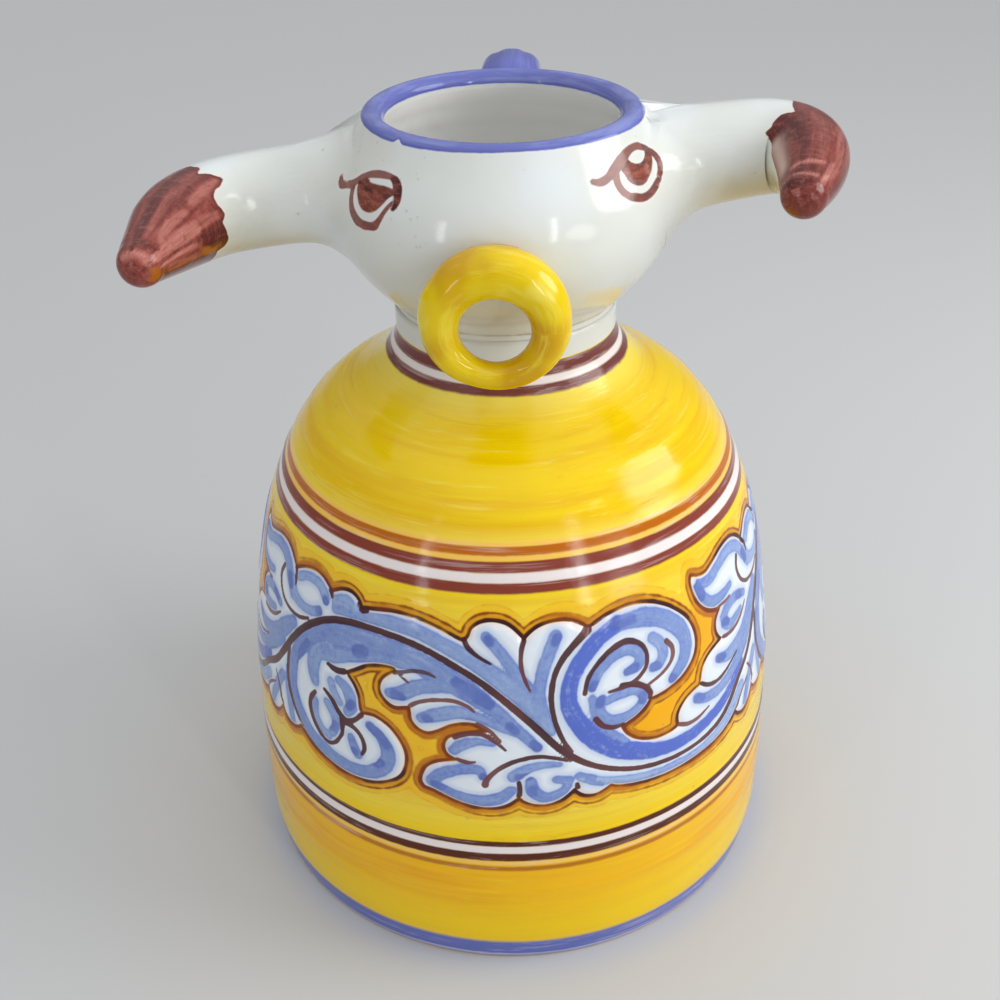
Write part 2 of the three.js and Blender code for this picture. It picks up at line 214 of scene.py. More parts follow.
# Brown lines inside the leaves: how dark, then the stroke
VEINS = [
    (1.0, [(-62, 68.5, 0.95), (-57, 73, 0.95), (-53.5, 78.5, 1), (-50, 84.5, 1), (-45.5, 90.5, 0.95),
        (-40, 95.2, 0.9), (-34, 97.8, 0.85), (-27, 98.6, 0.8), (-20, 98.2, 0.8), (-14, 96.6, 0.8),
        (-8, 93.5, 0.8), (-3, 90, 0.85), (2, 85, 0.9), (7, 78.8, 0.9), (11, 73, 0.9),
        (14.5, 68.8, 0.85), (19, 65, 0.75), (25, 61.8, 0.7), (31, 60, 0.65), (37.5, 59.2, 0.65),
        (44, 59.4, 0.65), (50, 60.9, 0.85), (54, 63.8, 0.9), (58, 68.5, 0.95)]),
    (0.9, [(-51.2, 81, 0.7), (-51.6, 74, 0.65), (-50.8, 69.5, 0.65), (-49, 65, 0.65),
        (-46, 60.5, 0.6)]),
    (1.0, [(-41.5, 74.2, 0.55), (-42.9, 71.5, 0.75), (-43, 68.5, 0.75), (-41.9, 65.3, 0.7),
        (-39.8, 62.5, 0.65), (-37.5, 61.4, 0.55), (-35.3, 63, 0.5), (-33.6, 66.5, 0.5)]),
    (1.0, [(-38.7, 76.6, 0.55), (-36.5, 75, 0.75), (-34.6, 72.5, 0.8), (-33, 71, 0.95),
        (-31.5, 71.3, 0.75), (-30, 72.8, 0.6), (-28.9, 74.3, 0.7)]),
    (1.0, [(-33.8, 71.5, 0.9), (-33.6, 69, 0.75), (-33.6, 66.5, 0.5)]),
    (0.9, [(-33, 70.3, 0.65), (-30.3, 69.8, 0.65), (-28.6, 67.8, 0.65), (-28, 65, 0.6),
        (-28.7, 62.8, 0.4)]), (1.0, [(-38, 84.4, 0.5), (-35.8, 83.9, 0.85), (-33.5, 84.4, 0.8)]),
    (0.55, [(-21.5, 89, 0.5), (-19.5, 90, 0.45), (-17, 91, 0.45), (-14.5, 91.2, 0.45),
        (-12.3, 90.4, 0.25)]), (0.6, [(-20, 89, 0.4), (-18.1, 87.6, 0.3)]),
    (0.75, [(-17.8, 81.3, 0.55), (-16, 83, 0.5), (-13, 84.3, 0.5), (-9, 84.9, 0.5), (-6, 83.9, 0.45),
        (-4.6, 82.5, 0.3)]),
    (0.85, [(-8.5, 74.9, 0.65), (-6, 76, 0.5), (-3, 76.2, 0.45), (-0.5, 74.5, 0.5), (1.6, 72, 0.3)]),
    (0.75, [(0.4, 74.8, 0.45), (-1.8, 77.6, 0.5), (-4, 79.2, 0.5)]),
    (0.8, [(-8, 68.6, 0.55), (-6.3, 68.1, 0.5), (-4.5, 68.5, 0.3)]),
    (0.8, [(-2.6, 61.9, 0.85), (-2.2, 63.6, 0.65), (-0.5, 66.1, 0.6), (2, 68.3, 0.6), (5, 69.6, 0.6),
        (8, 70, 0.55), (11, 69.2, 0.5), (14, 67.8, 0.35)]),
    (1.0, [(3.9, 58.3, 0.65), (4.1, 60.5, 0.6), (3.9, 62.8, 0.55)]),
    (0.95, [(15.3, 60.8, 0.45), (15.5, 59.3, 0.65)]),
    (0.85, [(-6.8, 100.4, 0.7), (-6, 98.9, 0.6), (-4, 96.9, 0.5), (-1.2, 95, 0.25)]),
    (0.85, [(5.5, 100.6, 0.65), (4.9, 98, 0.55), (4.8, 94.5, 0.5), (5.5, 91, 0.45), (6.5, 88, 0.25)]),
    (0.85, [(14.3, 70.3, 0.5), (12.7, 74, 0.55), (11.4, 78.5, 0.6), (10.7, 83, 0.65), (10.7, 87.5, 0.7),
        (11.6, 92, 0.7), (13.5, 95.8, 0.8), (16.5, 99.3, 0.9), (18.9, 101.5, 1.05)]),
    (0.85, [(17.4, 85.7, 0.6), (18.2, 89.5, 0.55), (20.8, 93.2, 0.6), (24, 95.7, 0.75), (27, 96.4, 0.8),
        (29.8, 95, 0.6), (31.3, 92, 0.55), (31, 88.6, 0.55), (29, 86.2, 0.55), (26.3, 85.1, 0.5),
        (22.4, 84.7, 0.4)]),
    (1.0, [(31.6, 79.6, 0.65), (31.5, 81.3, 0.7), (30.2, 83.4, 0.7), (28, 84.9, 0.75),
        (25.2, 85.5, 0.7)]),
    (0.75, [(36.3, 92.9, 0.7), (37.7, 90.5, 0.65), (37.3, 87.5, 0.55), (35, 85.2, 0.45),
        (31.3, 83.5, 0.4)]),
    (0.95, [(19.4, 78.3, 0.7), (20.8, 76, 0.7), (23, 74.8, 0.55), (25.2, 74.6, 0.55)]),
    (0.7, [(53, 92.7, 0.5), (57.3, 93.4, 0.35)]),
    (0.7, [(53.5, 84.2, 0.55), (57.5, 84, 0.55), (61, 85.3, 0.5), (63.8, 87.8, 0.3)]),
    (0.8, [(45.2, 76, 0.55), (47.2, 74.5, 0.6), (50, 73.8, 0.55), (53, 74.4, 0.5), (58, 77, 0.25)]),
    (0.75, [(38.7, 67.9, 0.6), (41, 67, 0.6), (43.7, 67, 0.5), (47, 68.2, 0.25)]),
    (0.85, [(63.2, 100.8, 0.65), (62.2, 98, 0.6), (63.2, 94.5, 0.55), (65.7, 92.1, 0.5),
        (69, 91.3, 0.5), (72, 91.6, 0.5), (75, 93, 0.4)]),
    (0.95, [(67.8, 102.6, 0.7), (68.7, 101, 0.6), (69, 98.8, 0.35)]),
    (1.0, [(-39.4, 103.2, 0.75), (-38.5, 101.9, 0.5)]),
    (1.0, [(-30.9, 103.2, 0.7), (-30.1, 102.1, 0.75), (-28.6, 102.3, 0.45)]),
    (0.8, [(-54.5, 61, 0.55), (-54.9, 64, 0.5), (-55.8, 67, 0.4), (-57.5, 69.5, 0.25)]),
    (0.8, [(57, 58.9, 0.55), (58, 61, 0.5), (60, 63.4, 0.4), (62.5, 65.5, 0.25)]),
]

# Blue washes: how deep, then the stroke
WASHES = [
    (0.35, [(-37, 99.8, 1.2), (-31, 100.9, 1.3), (-24, 101.5, 1.5), (-17, 101, 1.6), (-11, 98.8, 1.7),
        (-5, 95.6, 1.9), (0, 91.6, 2.2), (5, 86.4, 2.3), (8.5, 81, 2), (10.4, 76.8, 1)]),
    (0.45, [(-50, 77, 1.6), (-47, 84, 2.2), (-42, 90, 3), (-36, 93.6, 3.2), (-29, 94.6, 3),
        (-20, 94.6, 2.6), (-12, 91.6, 2.8), (-6, 88, 2.6), (-1, 83.6, 1.8), (3, 79, 1.4),
        (7.6, 72.8, 1.1)]),
    (0.45, [(-48.3, 82, 1.6), (-49.2, 76, 1.7), (-49, 70.5, 1.8), (-47, 65.5, 2.2), (-43.5, 61, 2.2),
        (-38, 58.4, 1.9), (-32, 57.4, 1.8), (-27, 58.4, 1.8), (-23.5, 61.8, 1.9), (-22.4, 66.2, 1.8),
        (-24, 70.3, 1.5), (-26.6, 72.5, 1.2)]),
    (0.3, [(-38, 90.2, 2), (-41.5, 86, 2.4), (-42.3, 81, 2.2), (-41.6, 77.6, 1.5)]),
    (0.35, [(-40, 86.5, 1.8), (-36.5, 87.6, 1.9), (-32, 89.6, 1.5), (-26, 91.6, 1.4),
        (-18, 92.4, 1.2)]), (0.2, [(-36.8, 80, 1.2), (-35.8, 77.5, 1.2), (-34.3, 75.5, 1)]),
    (0.35, [(-34.6, 81.6, 1.1), (-32.2, 79.7, 1.6), (-31.2, 76.3, 1.7), (-32.2, 73.8, 1.2)]),
    (0.3, [(-37.8, 73.4, 1.1), (-36, 71.2, 1.2), (-35.3, 68.3, 1.2), (-36.3, 65.3, 1.1)]),
    (0.25, [(-41.2, 71.8, 1), (-41.2, 68, 1.1), (-39.5, 64.9, 1.1), (-37.4, 63.6, 1.1)]),
    (0.4, [(-31.2, 66.8, 1), (-30.5, 64.3, 1.3), (-29.6, 62.4, 1.2)]),
    (0.25, [(-50, 101.6, 1.1), (-46.5, 103.4, 1), (-42.5, 103.2, 1.1), (-40, 100.6, 1.3)]),
    (0.25, [(-52.2, 99, 1.7), (-51, 96.6, 1.6), (-47.5, 95.3, 1.2), (-44, 95.6, 1.1),
        (-41.8, 96.8, 1.2)]), (0.25, [(-37.3, 101.6, 1.2), (-34.5, 102.6, 1.5), (-32, 101.6, 1.3)]),
    (0.35, [(47.3, 102.2, 1.1), (51, 101.6, 1.2), (55, 103.2, 1.1), (60, 104.4, 1.2), (64, 103, 1.4),
        (66.6, 99.5, 1.7), (68.6, 96.4, 1.6)]),
    (0.45, [(46.9, 101.5, 1.3), (47.7, 98.5, 1.7), (50, 96, 1.5), (54, 95.3, 1.2), (58, 96.2, 0.8)]),
    (0.4, [(53.8, 89.5, 1.3), (56.5, 91.5, 1.2), (60, 91.7, 1.2), (63.5, 90.3, 0.9)]),
    (0.4, [(54, 88, 1.5), (56.5, 86.2, 1.3), (61, 87.3, 0.8)]),
    (0.4, [(50.6, 80, 1.1), (54, 78.6, 1.6), (59, 79.2, 2.2), (63, 81.5, 2.4), (67, 86, 2.2),
        (70, 89.3, 1.4)]),
    (0.4, [(43.3, 73.1, 1.2), (46, 71.5, 1.3), (50, 71, 1.4), (54, 72.2, 1.5), (58, 74.6, 1.8),
        (62, 78, 2), (65.5, 82, 1.8)]),
    (0.75, [(59, 72.3, 1.4), (53.5, 67.4, 1.6), (47, 64.5, 1.6), (40, 63.2, 1.7), (33, 63.9, 1.9),
        (26, 67, 2.4), (20.5, 71.5, 2.6), (16.5, 77, 2.3), (14.2, 83, 2), (14.5, 89, 1.9),
        (17, 94.5, 1.9), (21, 98.9, 1.8), (25.5, 101.4, 1.7)]),
    (0.45, [(24, 101.2, 1.4), (31, 101, 2.1), (36, 98.8, 2.1), (40, 94.6, 2.1), (41.3, 90, 1.9),
        (40.2, 85.8, 1.7), (37.2, 82.4, 1.3)]),
    (0.1, [(16, 62.4, 0.9), (20, 60.4, 1.1), (25, 58.7, 1.1), (31, 57.4, 1), (38, 56.9, 0.9),
        (45, 57.2, 0.9), (51, 58.8, 1.2), (55, 61.3, 1.4), (59, 65.5, 1.4)]),
    (0.45, [(18.9, 87, 1.1), (20.2, 90.3, 1.2), (23, 93.2, 1.2), (27, 94.4, 1.3), (29.6, 92.4, 1.5),
        (29.2, 89.8, 1.4), (26.5, 88.8, 0.9)]),
    (0.4, [(20.8, 83.2, 1.2), (20.3, 80.5, 1.1), (21.9, 77.6, 1.3), (25, 76.6, 1.5), (28.4, 77.8, 1.4),
        (30, 80.6, 1.4), (28.3, 83.2, 1.1), (24.5, 83.3, 1), (22, 82.6, 1)]),
    (0.35, [(33, 95.3, 1.3), (34.8, 92.8, 1.4), (35.2, 90, 1.4), (34, 87.8, 1.2), (32.6, 87.6, 1.1)]),
    (0.5, [(18.8, 84, 0.9), (19.1, 80, 0.8), (20.2, 76.5, 1), (22.5, 73, 1.2), (25.5, 70, 1.2)]),
    (0.4, [(-22.3, 83.6, 1.1), (-20, 84.2, 1.7), (-16.5, 86.8, 1.8), (-12.5, 88.4, 1.9),
        (-8, 89, 1.8)]),
    (0.35, [(-15.2, 79, 1.2), (-12, 80.6, 1.7), (-8, 82, 1.6), (-4, 81.2, 1.2), (0, 79, 1),
        (3.5, 77, 0.9)]),
    (0.4, [(-8.7, 71.4, 1.2), (-7, 73.2, 1.3), (-4, 74.4, 0.9), (-0.8, 73.9, 0.5)]),
    (0.45, [(-13.3, 61.6, 1.3), (-11, 64.2, 1.5), (-7.5, 66, 1.3), (-4, 66.4, 1.2), (-3, 64.4, 0.9)]),
    (0.4, [(-13, 60.9, 1.2), (-8.5, 58.2, 1.4), (-4, 57.1, 1.6), (0, 58, 1.6), (2.5, 60.5, 1.2)]),
    (0.35, [(3, 64.6, 1.5), (5.5, 66.7, 1.2), (9, 67.6, 0.9), (12, 67.2, 0.5)]),
    (0.5, [(6.3, 63, 1.2), (6.7, 60, 1.5), (9, 57.9, 1.4), (12, 58.8, 1.2), (13.4, 60.6, 1)]),
    (0.45, [(11.3, 63, 1), (13.6, 62.2, 1.2)]),
    (0.45, [(15.8, 63, 1), (18.5, 61, 1.3), (20.5, 59.8, 1)]),
    (0.4, [(-2.2, 101.6, 1.2), (0, 98.9, 1.3), (2.5, 95, 1.4), (5, 90.5, 1.4), (8, 85.5, 1.5)]),
    (0.4, [(12, 101.2, 1.5), (10.6, 97.5, 1.5), (8.9, 92, 1.4), (8.3, 86.5, 1.3), (9.6, 80.5, 1)]),
    (0.35, [(61, 58.9, 1.1), (62, 62, 1.2), (64, 66.5, 1.4), (66.3, 71, 1.3)]),
    (0.35, [(70.4, 60, 1.1), (69.6, 64, 1.2), (68.8, 69, 1.3), (68.6, 74.5, 1)]),
]

# Darker blue dabs, where the brush rested
DABS = [
    [(-30.4, 91.7, 1.5), (-28.6, 92.2, 1.5)], [(-31.7, 75.8, 1.2), (-31.2, 76.6, 1.2)],
    [(-35.6, 68.3, 1), (-36.1, 66.9, 1)], [(-25, 62.3, 1.3), (-24.2, 62.8, 1.2)],
    [(-26.6, 72.4, 1.1), (-24.3, 70.8, 1.2), (-22.8, 68.5, 1)],
    [(-46.9, 79, 1), (-46.3, 83, 1.1), (-44.5, 86.6, 1)],
    [(-8, 90, 1.3), (-4.5, 87.3, 1.5), (-1.6, 84.8, 1.3)], [(2.4, 79, 1.1), (3.3, 77.6, 1)],
    [(7, 73.8, 1), (7.7, 72.7, 1)], [(-21, 83.6, 1.3), (-19.6, 83.2, 1.2)],
    [(-14.3, 79.4, 1), (-13.6, 79, 1)], [(24.5, 101.6, 1.3), (28.5, 101.5, 1.3)],
    [(37.2, 82.4, 1.1), (36.6, 83, 1.1)], [(32.9, 87.6, 1), (33.6, 87.5, 1)],
    [(26.2, 89, 0.9), (28.4, 89.3, 1)], [(29.6, 80, 1.1), (29.6, 81.2, 1)],
    [(20.7, 83.6, 1), (20.3, 82, 0.9)], [(18.9, 86.8, 0.9), (19.4, 87.6, 1)],
    [(43.4, 73, 0.9), (45, 72.1, 1)], [(50.8, 79.9, 0.9), (52.6, 79.1, 1)],
    [(54, 88.2, 1.2), (55, 87.8, 1.2)], [(46.9, 101.8, 1.1), (47.6, 99, 1.3)],
    [(-40.2, 100.4, 1.1), (-39.8, 100, 1)], [(66.4, 99.8, 1.2), (67.2, 98, 1.2)],
    [(60.2, 91.6, 0.9), (62, 90.8, 0.9)], [(-3, 64.6, 0.8), (-2.8, 63.8, 0.7)],
    [(-12.6, 60.8, 1), (-11.2, 60.2, 1)], [(6.5, 60.6, 1), (6.6, 59.4, 1)],
    [(12.3, 100.9, 1.1), (11.8, 99.9, 1)], [(-1.9, 101.2, 0.9), (-1.3, 100.3, 0.9)],
    [(6, 64.7, 0.9), (4, 64.2, 1)], [(-42, 97, 1), (-41, 96.6, 0.9)],
    [(61, 73.5, 1.2), (62.5, 75, 1.2)], [(-30.6, 63.4, 0.9), (-30.2, 62.8, 0.9)],
]

# Deep amber left in the pockets between leaves: how deep, then the stroke
POCKETS = [
    (1.0, [(27, 74, 3), (31, 72, 5), (36, 73, 4.5), (41, 78, 4)]),
    (1.0, [(44, 79, 3), (48, 86, 4), (48, 91, 3.5), (45, 98, 1.5)]),
    (0.35, [(-23, 76, 3), (-17, 72, 3), (-14, 70, 3)]), (0.3, [(-27, 84, 2.5), (-26, 79, 2.5)]),
    (0.35, [(-17, 62, 2.5), (-18, 58, 2.5)]),
]

# Eyes: flat charts in millimetres, across (towards +angle) and up. "at" is the chart's centre.
RIGHT_EYE = {
    "at": (-44.3, 192),
    "iris": [
        (-6.6, 3.2), (-4, 3.9), (-3, 3.8), (-2.6, 3.4), (0, 3.4), (3, 3.7), (5, 3.6), (5.7, 3.2),
        (4.8, 2), (4, 0.6), (2.8, -1), (1.5, -2.2), (0, -2.9), (-2, -2.9), (-3.7, -2.3), (-5, -1.2),
        (-6, 0.3), (-6.6, 1.8),
    ],
    "lines": [
        (0.45, [(-14.6, 3, 0.4), (-14.5, 1.6, 0.7), (-13.6, 0.6, 1), (-11.5, 1, 0.9), (-9.5, 1.4, 0.95),
            (-8, 2.2, 0.9), (-6, 3.6, 0.8), (-4, 4.7, 0.8), (-1.5, 5.4, 0.9), (1, 5.8, 0.85),
            (3, 5.9, 0.7)]),
        (1.0, [(3.4, 5.9, 0.6), (5, 5.3, 1.05), (6.2, 4, 1.2), (6.9, 2.4, 1.05), (7, 1, 0.85),
            (6.5, -0.5, 0.4)]),
        (0.6, [(-8.2, 1.8, 0.85), (-8.1, 0, 0.85), (-7.6, -2, 0.95), (-6.4, -4, 1.1),
            (-4.4, -5.3, 1.15), (-2, -5.8, 1), (0.5, -5.6, 0.9), (2.3, -5, 0.95), (3.3, -3.6, 0.75),
            (4.2, -1.8, 0.6), (5.2, -0.1, 0.5), (5.9, 0.9, 0.35)]),
        (1.0, [(-6.3, 2.6, 0.5), (-4.5, 3.4, 0.7), (-3.2, 2, 0.6), (-1, 1.5, 0.4)]),
        (0.9, [(5.8, 3.3, 0.6), (4.4, 2.3, 0.7), (3.2, 1, 0.5)]),
    ],
}
LEFT_EYE = {
    "at": (53.9, 196),
    "iris": [
        (-4, 1.6), (-2.4, 2.6), (-0.5, 3.1), (0.1, 2.5), (1.4, 1.5), (3.2, 1.2), (5, 1.5), (6.1, 2.2),
        (6.9, 3.2), (7.8, 3.8), (8.8, 3), (8.7, 1.6), (7.6, 0), (6.2, -1.4), (4, -2.6), (1.8, -3.1),
        (0, -2.7), (-1.8, -1.7), (-2.8, -0.5), (-3.5, 0.6),
    ],
    "lines": [
        (0.45, [(-12.2, 1.9, 0.7), (-11, 1.2, 0.85), (-9.5, 1, 0.95), (-8, 1.3, 0.95),
            (-6.5, 1.8, 1.15), (-5, 2.4, 1.3), (-3, 3.2, 1.35), (-1, 4, 1.15), (1, 4.6, 0.95),
            (3, 4.9, 0.85), (5, 4.8, 0.85), (6.6, 4.2, 0.85)]),
        (0.7, [(6.6, 4.2, 0.85), (8, 3.6, 0.85), (9.4, 2.4, 0.9), (10.1, 1, 0.95), (10.1, -0.6, 0.95),
            (9.3, -2.1, 0.95), (7.8, -3.6, 0.9), (6, -4.7, 0.95), (4, -5.4, 0.95), (2, -5.8, 0.9),
            (0, -5.8, 0.9), (-2, -5.2, 1), (-4, -4.4, 0.9)]),
        (0.35, [(-4, -4.4, 0.9), (-5.4, -3, 0.95), (-6.1, -1.5, 1), (-6.1, 0, 1.05), (-5.4, 1.2, 0.9)]),
        (0.6, [(-3, 0.2, 0.4), (-2.3, -1.2, 0.5), (-0.8, -2.3, 0.55), (1.4, -2.8, 0.5),
            (3.4, -2.6, 0.35)]),
        (0.85, [(0.2, 1.7, 0.5), (2, 0.9, 0.45), (4, 0.8, 0.4), (6.4, 1.8, 0.5), (7.8, 3.2, 0.6)]),
    ],
}

# Jagged ends of the brown on the horns: (degrees round the horn from its top towards the
# viewer, millimetres along it)
RIGHT_TIP_EDGE = [
    (-180, 49.3), (-170, 48.2), (-158, 48), (-152, 49.2, 1), (-145, 47.2), (-132, 45.3), (-118, 44.9),
    (-110, 45.9, 1), (-100, 43.9), (-88, 42.8), (-74, 43.9), (-66, 46.2, 1), (-58, 44.6), (-45, 43.3),
    (-33, 44.1), (-28, 45.6, 1), (-20, 44.2), (-12, 43), (-5, 43.4), (2, 43.3), (8, 43.8), (12, 45),
    (15, 45.8, 1), (20, 44.3), (28, 43), (33, 41.8), (36, 41.3), (41, 43), (45, 46), (48, 48),
    (52, 49.3, 1), (60, 49.2), (70, 48.6), (77, 48.4), (80, 49.3), (82, 50.3, 1), (90, 49.6),
    (100, 48.5), (110, 47.6), (117, 48.2), (120, 49.4), (123, 51.6, 1), (130, 50.7), (142, 50.4),
    (150, 49.9), (160, 50.1), (168, 51, 1),
]
LEFT_TIP_EDGE = [
    (-180, 43.5), (-165, 41.3), (-156, 41.5, 1), (-142, 38.5), (-126, 37), (-116, 37.8, 1), (-104, 36),
    (-88, 35), (-72, 35.5), (-64, 37, 1), (-52, 35.6), (-38, 35.3), (-30, 36.6, 1), (-18, 36),
    (-10, 36.3), (0, 37), (8, 38), (12, 39), (16, 40.3, 1), (22, 39), (28, 37.8), (33, 37.3),
    (38, 36.8), (44, 36.2), (48, 36.3), (50, 36.2, 1), (53, 34.6), (57, 33.2), (60, 34.5), (62, 37),
    (64, 41), (66, 45), (71, 46.5), (76, 48), (80, 50.5), (88, 55.5), (95, 57), (105, 57.5, 1),
    (115, 55), (130, 51), (142, 49.8), (150, 49.6, 1), (160, 47.5), (170, 45),
]

# Brush touches on the brown tips, light above 0 and dark below, in the same chart; one is partly a painted
# highlight
RIGHT_TIP_TOUCHES = [
    (-0.8, [(-2, 44, 1.2), (-3, 55, 1.5), (-2, 66, 1.7), (-4, 75, 1.4)]),
    (-0.6, [(25, 52, 0.6), (27, 58, 0.9), (25, 65, 0.5)]),
    (0.7, [(36, 44, 0.6), (37, 50, 1.1), (40, 56, 0.9)]),
    (0.7, [(42, 60, 1), (38, 66, 1.4), (44, 70, 1.2)]),
    (0.4, [(15, 47, 0.7), (16, 55, 1), (12, 62, 1), (14, 70, 1)]),
    (0.9, [(70, 60, 1.8), (66, 67, 2.2), (64, 74, 2)]), (0.5, [(72, 52, 1.2), (70, 57, 1.5)]),
    # Partly a painted highlight, partly scratched paint: the light streak along the side of the right tip
    # that faces the viewer
    (1.3, [(92, 61.5, 0.35), (90, 68, 0.5), (91, 74, 0.45)]),
    (-0.9, [(100, 49, 2), (98, 54, 2), (95, 58, 1.2)]),
    (-0.7, [(80, 50, 0.7), (82, 55, 0.8), (84, 60, 0.6)]), (-0.8, [(114, 48.5, 0.8), (118, 52, 0.6)]),
    (-1, [(128, 51, 1.6), (127, 58, 1.6), (126, 66, 1.3), (124, 74, 1.2)]),
    (0.4, [(112, 62, 1.2), (108, 70, 1.5)]),
    (1.2, [(-45, 76.6, 0.5), (-10, 76.3, 0.5), (20, 76.2, 0.5), (55, 76.3, 0.5)]),
    (-0.7, [(10, 73, 0.8), (35, 73.2, 0.8), (50, 72.6, 0.7)]),
]
LEFT_TIP_TOUCHES = [
    (-1, [(56, 34.5, 0.5), (52, 39, 1), (44, 44, 1.6), (40, 48, 1.4)]),
    (-1, [(36, 37.5, 0.7), (30, 41, 1.2), (26, 46, 1.2), (24, 50, 1)]),
    (-0.5, [(12, 41.5, 0.9), (10, 47, 1.2), (12, 52, 1.3), (14, 57, 1.2)]),
    (0.3, [(-8, 44, 0.9), (-16, 50, 1.3), (-20, 56, 1.3)]),
    (0.6, [(-40, 46, 1), (-50, 52, 1.6), (-62, 58, 1.6)]), (0.9, [(-48, 57, 1.2), (-46, 62, 1.3)]),
    (1.2, [(38, 59.5, 0.35), (15, 58.6, 0.4), (-10, 58, 0.4), (-28, 57.2, 0.35)]),
    (1, [(30, 61.9, 0.3), (0, 62.2, 0.3), (-30, 61.5, 0.3)]),
    (-0.7, [(25, 60.7, 0.5), (5, 60.4, 0.6), (-15, 60.2, 0.5)]),
    (-1.1, [(60, 64, 0.7), (30, 64.6, 0.8), (0, 64.4, 0.8), (-20, 64, 0.7)]),
    (0.9, [(40, 65.9, 0.3), (10, 66.2, 0.3)]),
]

# Amber stains on the right tip
RIGHT_TIP_AMBER = [
    [(118, 53, 0.8), (112, 57, 1.2), (100, 60, 0.4)], [(85, 76, 0.9), (110, 75.6, 1.3), (128, 76, 1)],
]

# Curves and distances


def bezier(start, pull_out, pull_in, end, count=25):
    """Points along a cubic curve, given in two or three dimensions."""
    start, pull_out, pull_in, end = (np.array(p, float) for p in (start, pull_out, pull_in, end))
    t = np.linspace(0, 1, count)[:, None]
    early, late = 3 * (1 - t) ** 2 * t, 3 * (1 - t) * t**2
    return (1 - t) ** 3 * start + early * pull_out + late * pull_in + t**3 * end


def joined(*paths):
    """One path through several, with the points they share kept once."""
    whole = np.concatenate([np.atleast_2d(np.array(p, float)) for p in paths])
    steps = np.linalg.norm(np.diff(whole, axis=0), axis=1)
    return whole[np.concatenate([[True], steps > 1e-6])]


def length_along(path):
    """Distance from the path's start to each of its points."""
    steps = np.linalg.norm(np.diff(path, axis=0), axis=1)
    return np.concatenate([[0], np.cumsum(steps)])


def at_length(path, where):
    """Points at given distances along a path."""
    run = length_along(path)
    return np.stack([np.interp(where, run, path[:, k]) for k in range(path.shape[1])], -1)


def respaced(path, step):
    """The path with even steps close to the given one."""
    total = length_along(path)[-1]
    count = max(2, round(total / step) + 1)
    return at_length(path, np.linspace(0, total, count))


def moved_out(path, distance):
    """A flat path moved square to itself, to the right of its direction."""
    along = np.gradient(path, axis=0)
    along /= np.linalg.norm(along, axis=1, keepdims=True)
    return path + distance * np.stack([along[:, 1], -along[:, 0]], -1)


def smooth_through(points, steps=5, period=0.0):
    """Spline through points of (x, y, third). With a period it repeats along x, and a third
    value of 1 marks a corner. Without one, the third value is a size carried along."""
    knots = [np.array([p[0], p[1], p[2] if len(p) > 2 else 0.0]) for p in points]
    count = len(knots)
    corners = [period > 0 and knot[2] == 1 for knot in knots]

    def knot_at(i):
        if not period:
            return knots[min(max(i, 0), count - 1)]
        turns, place = divmod(i, count)
        return knots[place] + np.array([turns * period, 0, 0])

    made = []
    for i in range(count if period else count - 1):
        here, there = knot_at(i), knot_at(i + 1)
        before = here if corners[i] else knot_at(i - 1)
        after = there if corners[(i + 1) % count] else knot_at(i + 2)
        squared = 2 * before - 5 * here + 4 * there - after
        cubed = 3 * here - before - 3 * there + after
        for t in np.arange(steps) / steps:
            made.append(0.5 * (2 * here + (there - before) * t + squared * t**2 + cubed * t**3))
    made.append(knot_at(count if period else count - 1))
    return np.array(made)


def nearest_on(segment_start, segment_end, x, y):
    """Distance from points to a straight segment, and the share of it that is nearest."""
    dx, dy = segment_end[0] - segment_start[0], segment_end[1] - segment_start[1]
    squared = max(dx * dx + dy * dy, 1e-12)
    px, py = x - segment_start[0], y - segment_start[1]
    share = np.clip((px * dx + py * dy) / squared, 0, 1)
    return np.hypot(px - share * dx, py - share * dy), share


def near(start, end, x, y, reach):
    """Which points lie within reach of a segment's box."""
    in_x = (x > min(start[0], end[0]) - reach) & (x < max(start[0], end[0]) + reach)
    return in_x & (y > min(start[1], end[1]) - reach) & (y < max(start[1], end[1]) + reach)


def distance_to_path(path, x, y, reach=OUTLINE_REACH):
    """Distance from points to a path, no further than reach."""
    best = np.full(x.shape, reach)
    for start, end in zip(path[:-1], path[1:]):
        close = near(start, end, x, y, reach)
        if close.any():
            found, _ = nearest_on(start, end, x[close], y[close])
            best[close] = np.minimum(best[close], found)
    return best


def crossings_above(path, x, y):
    """How many times each point's upward line meets the path."""
    count = np.zeros(x.shape, int)
    for start, end in zip(path[:-1], path[1:]):
        low, high = min(start[0], end[0]), max(start[0], end[0])
        under = (x >= low) & (x < high)
        if under.any():
            share = (x[under] - start[0]) / (end[0] - start[0])
            count[under] += start[1] + share * (end[1] - start[1]) > y[under]
    return count


def signed_distance(outline, x, y, reach=OUTLINE_REACH):
    """Distance to a closed outline, negative inside."""
    away = distance_to_path(outline, x, y, reach)
    return np.where(crossings_above(outline, x, y) % 2 == 1, -away, away)


def repeated(outline, x, y, shifts):
    """For an outline that runs on sideways, distance to it and whether a point lies under it."""
    away = np.full(x.shape, OUTLINE_REACH)
    count = np.zeros(x.shape, int)
    for shift in shifts:
        moved = outline + (shift, 0)
        away = np.minimum(away, distance_to_path(moved, x, y))
        count += crossings_above(moved, x, y)
    return away, count % 2 == 1


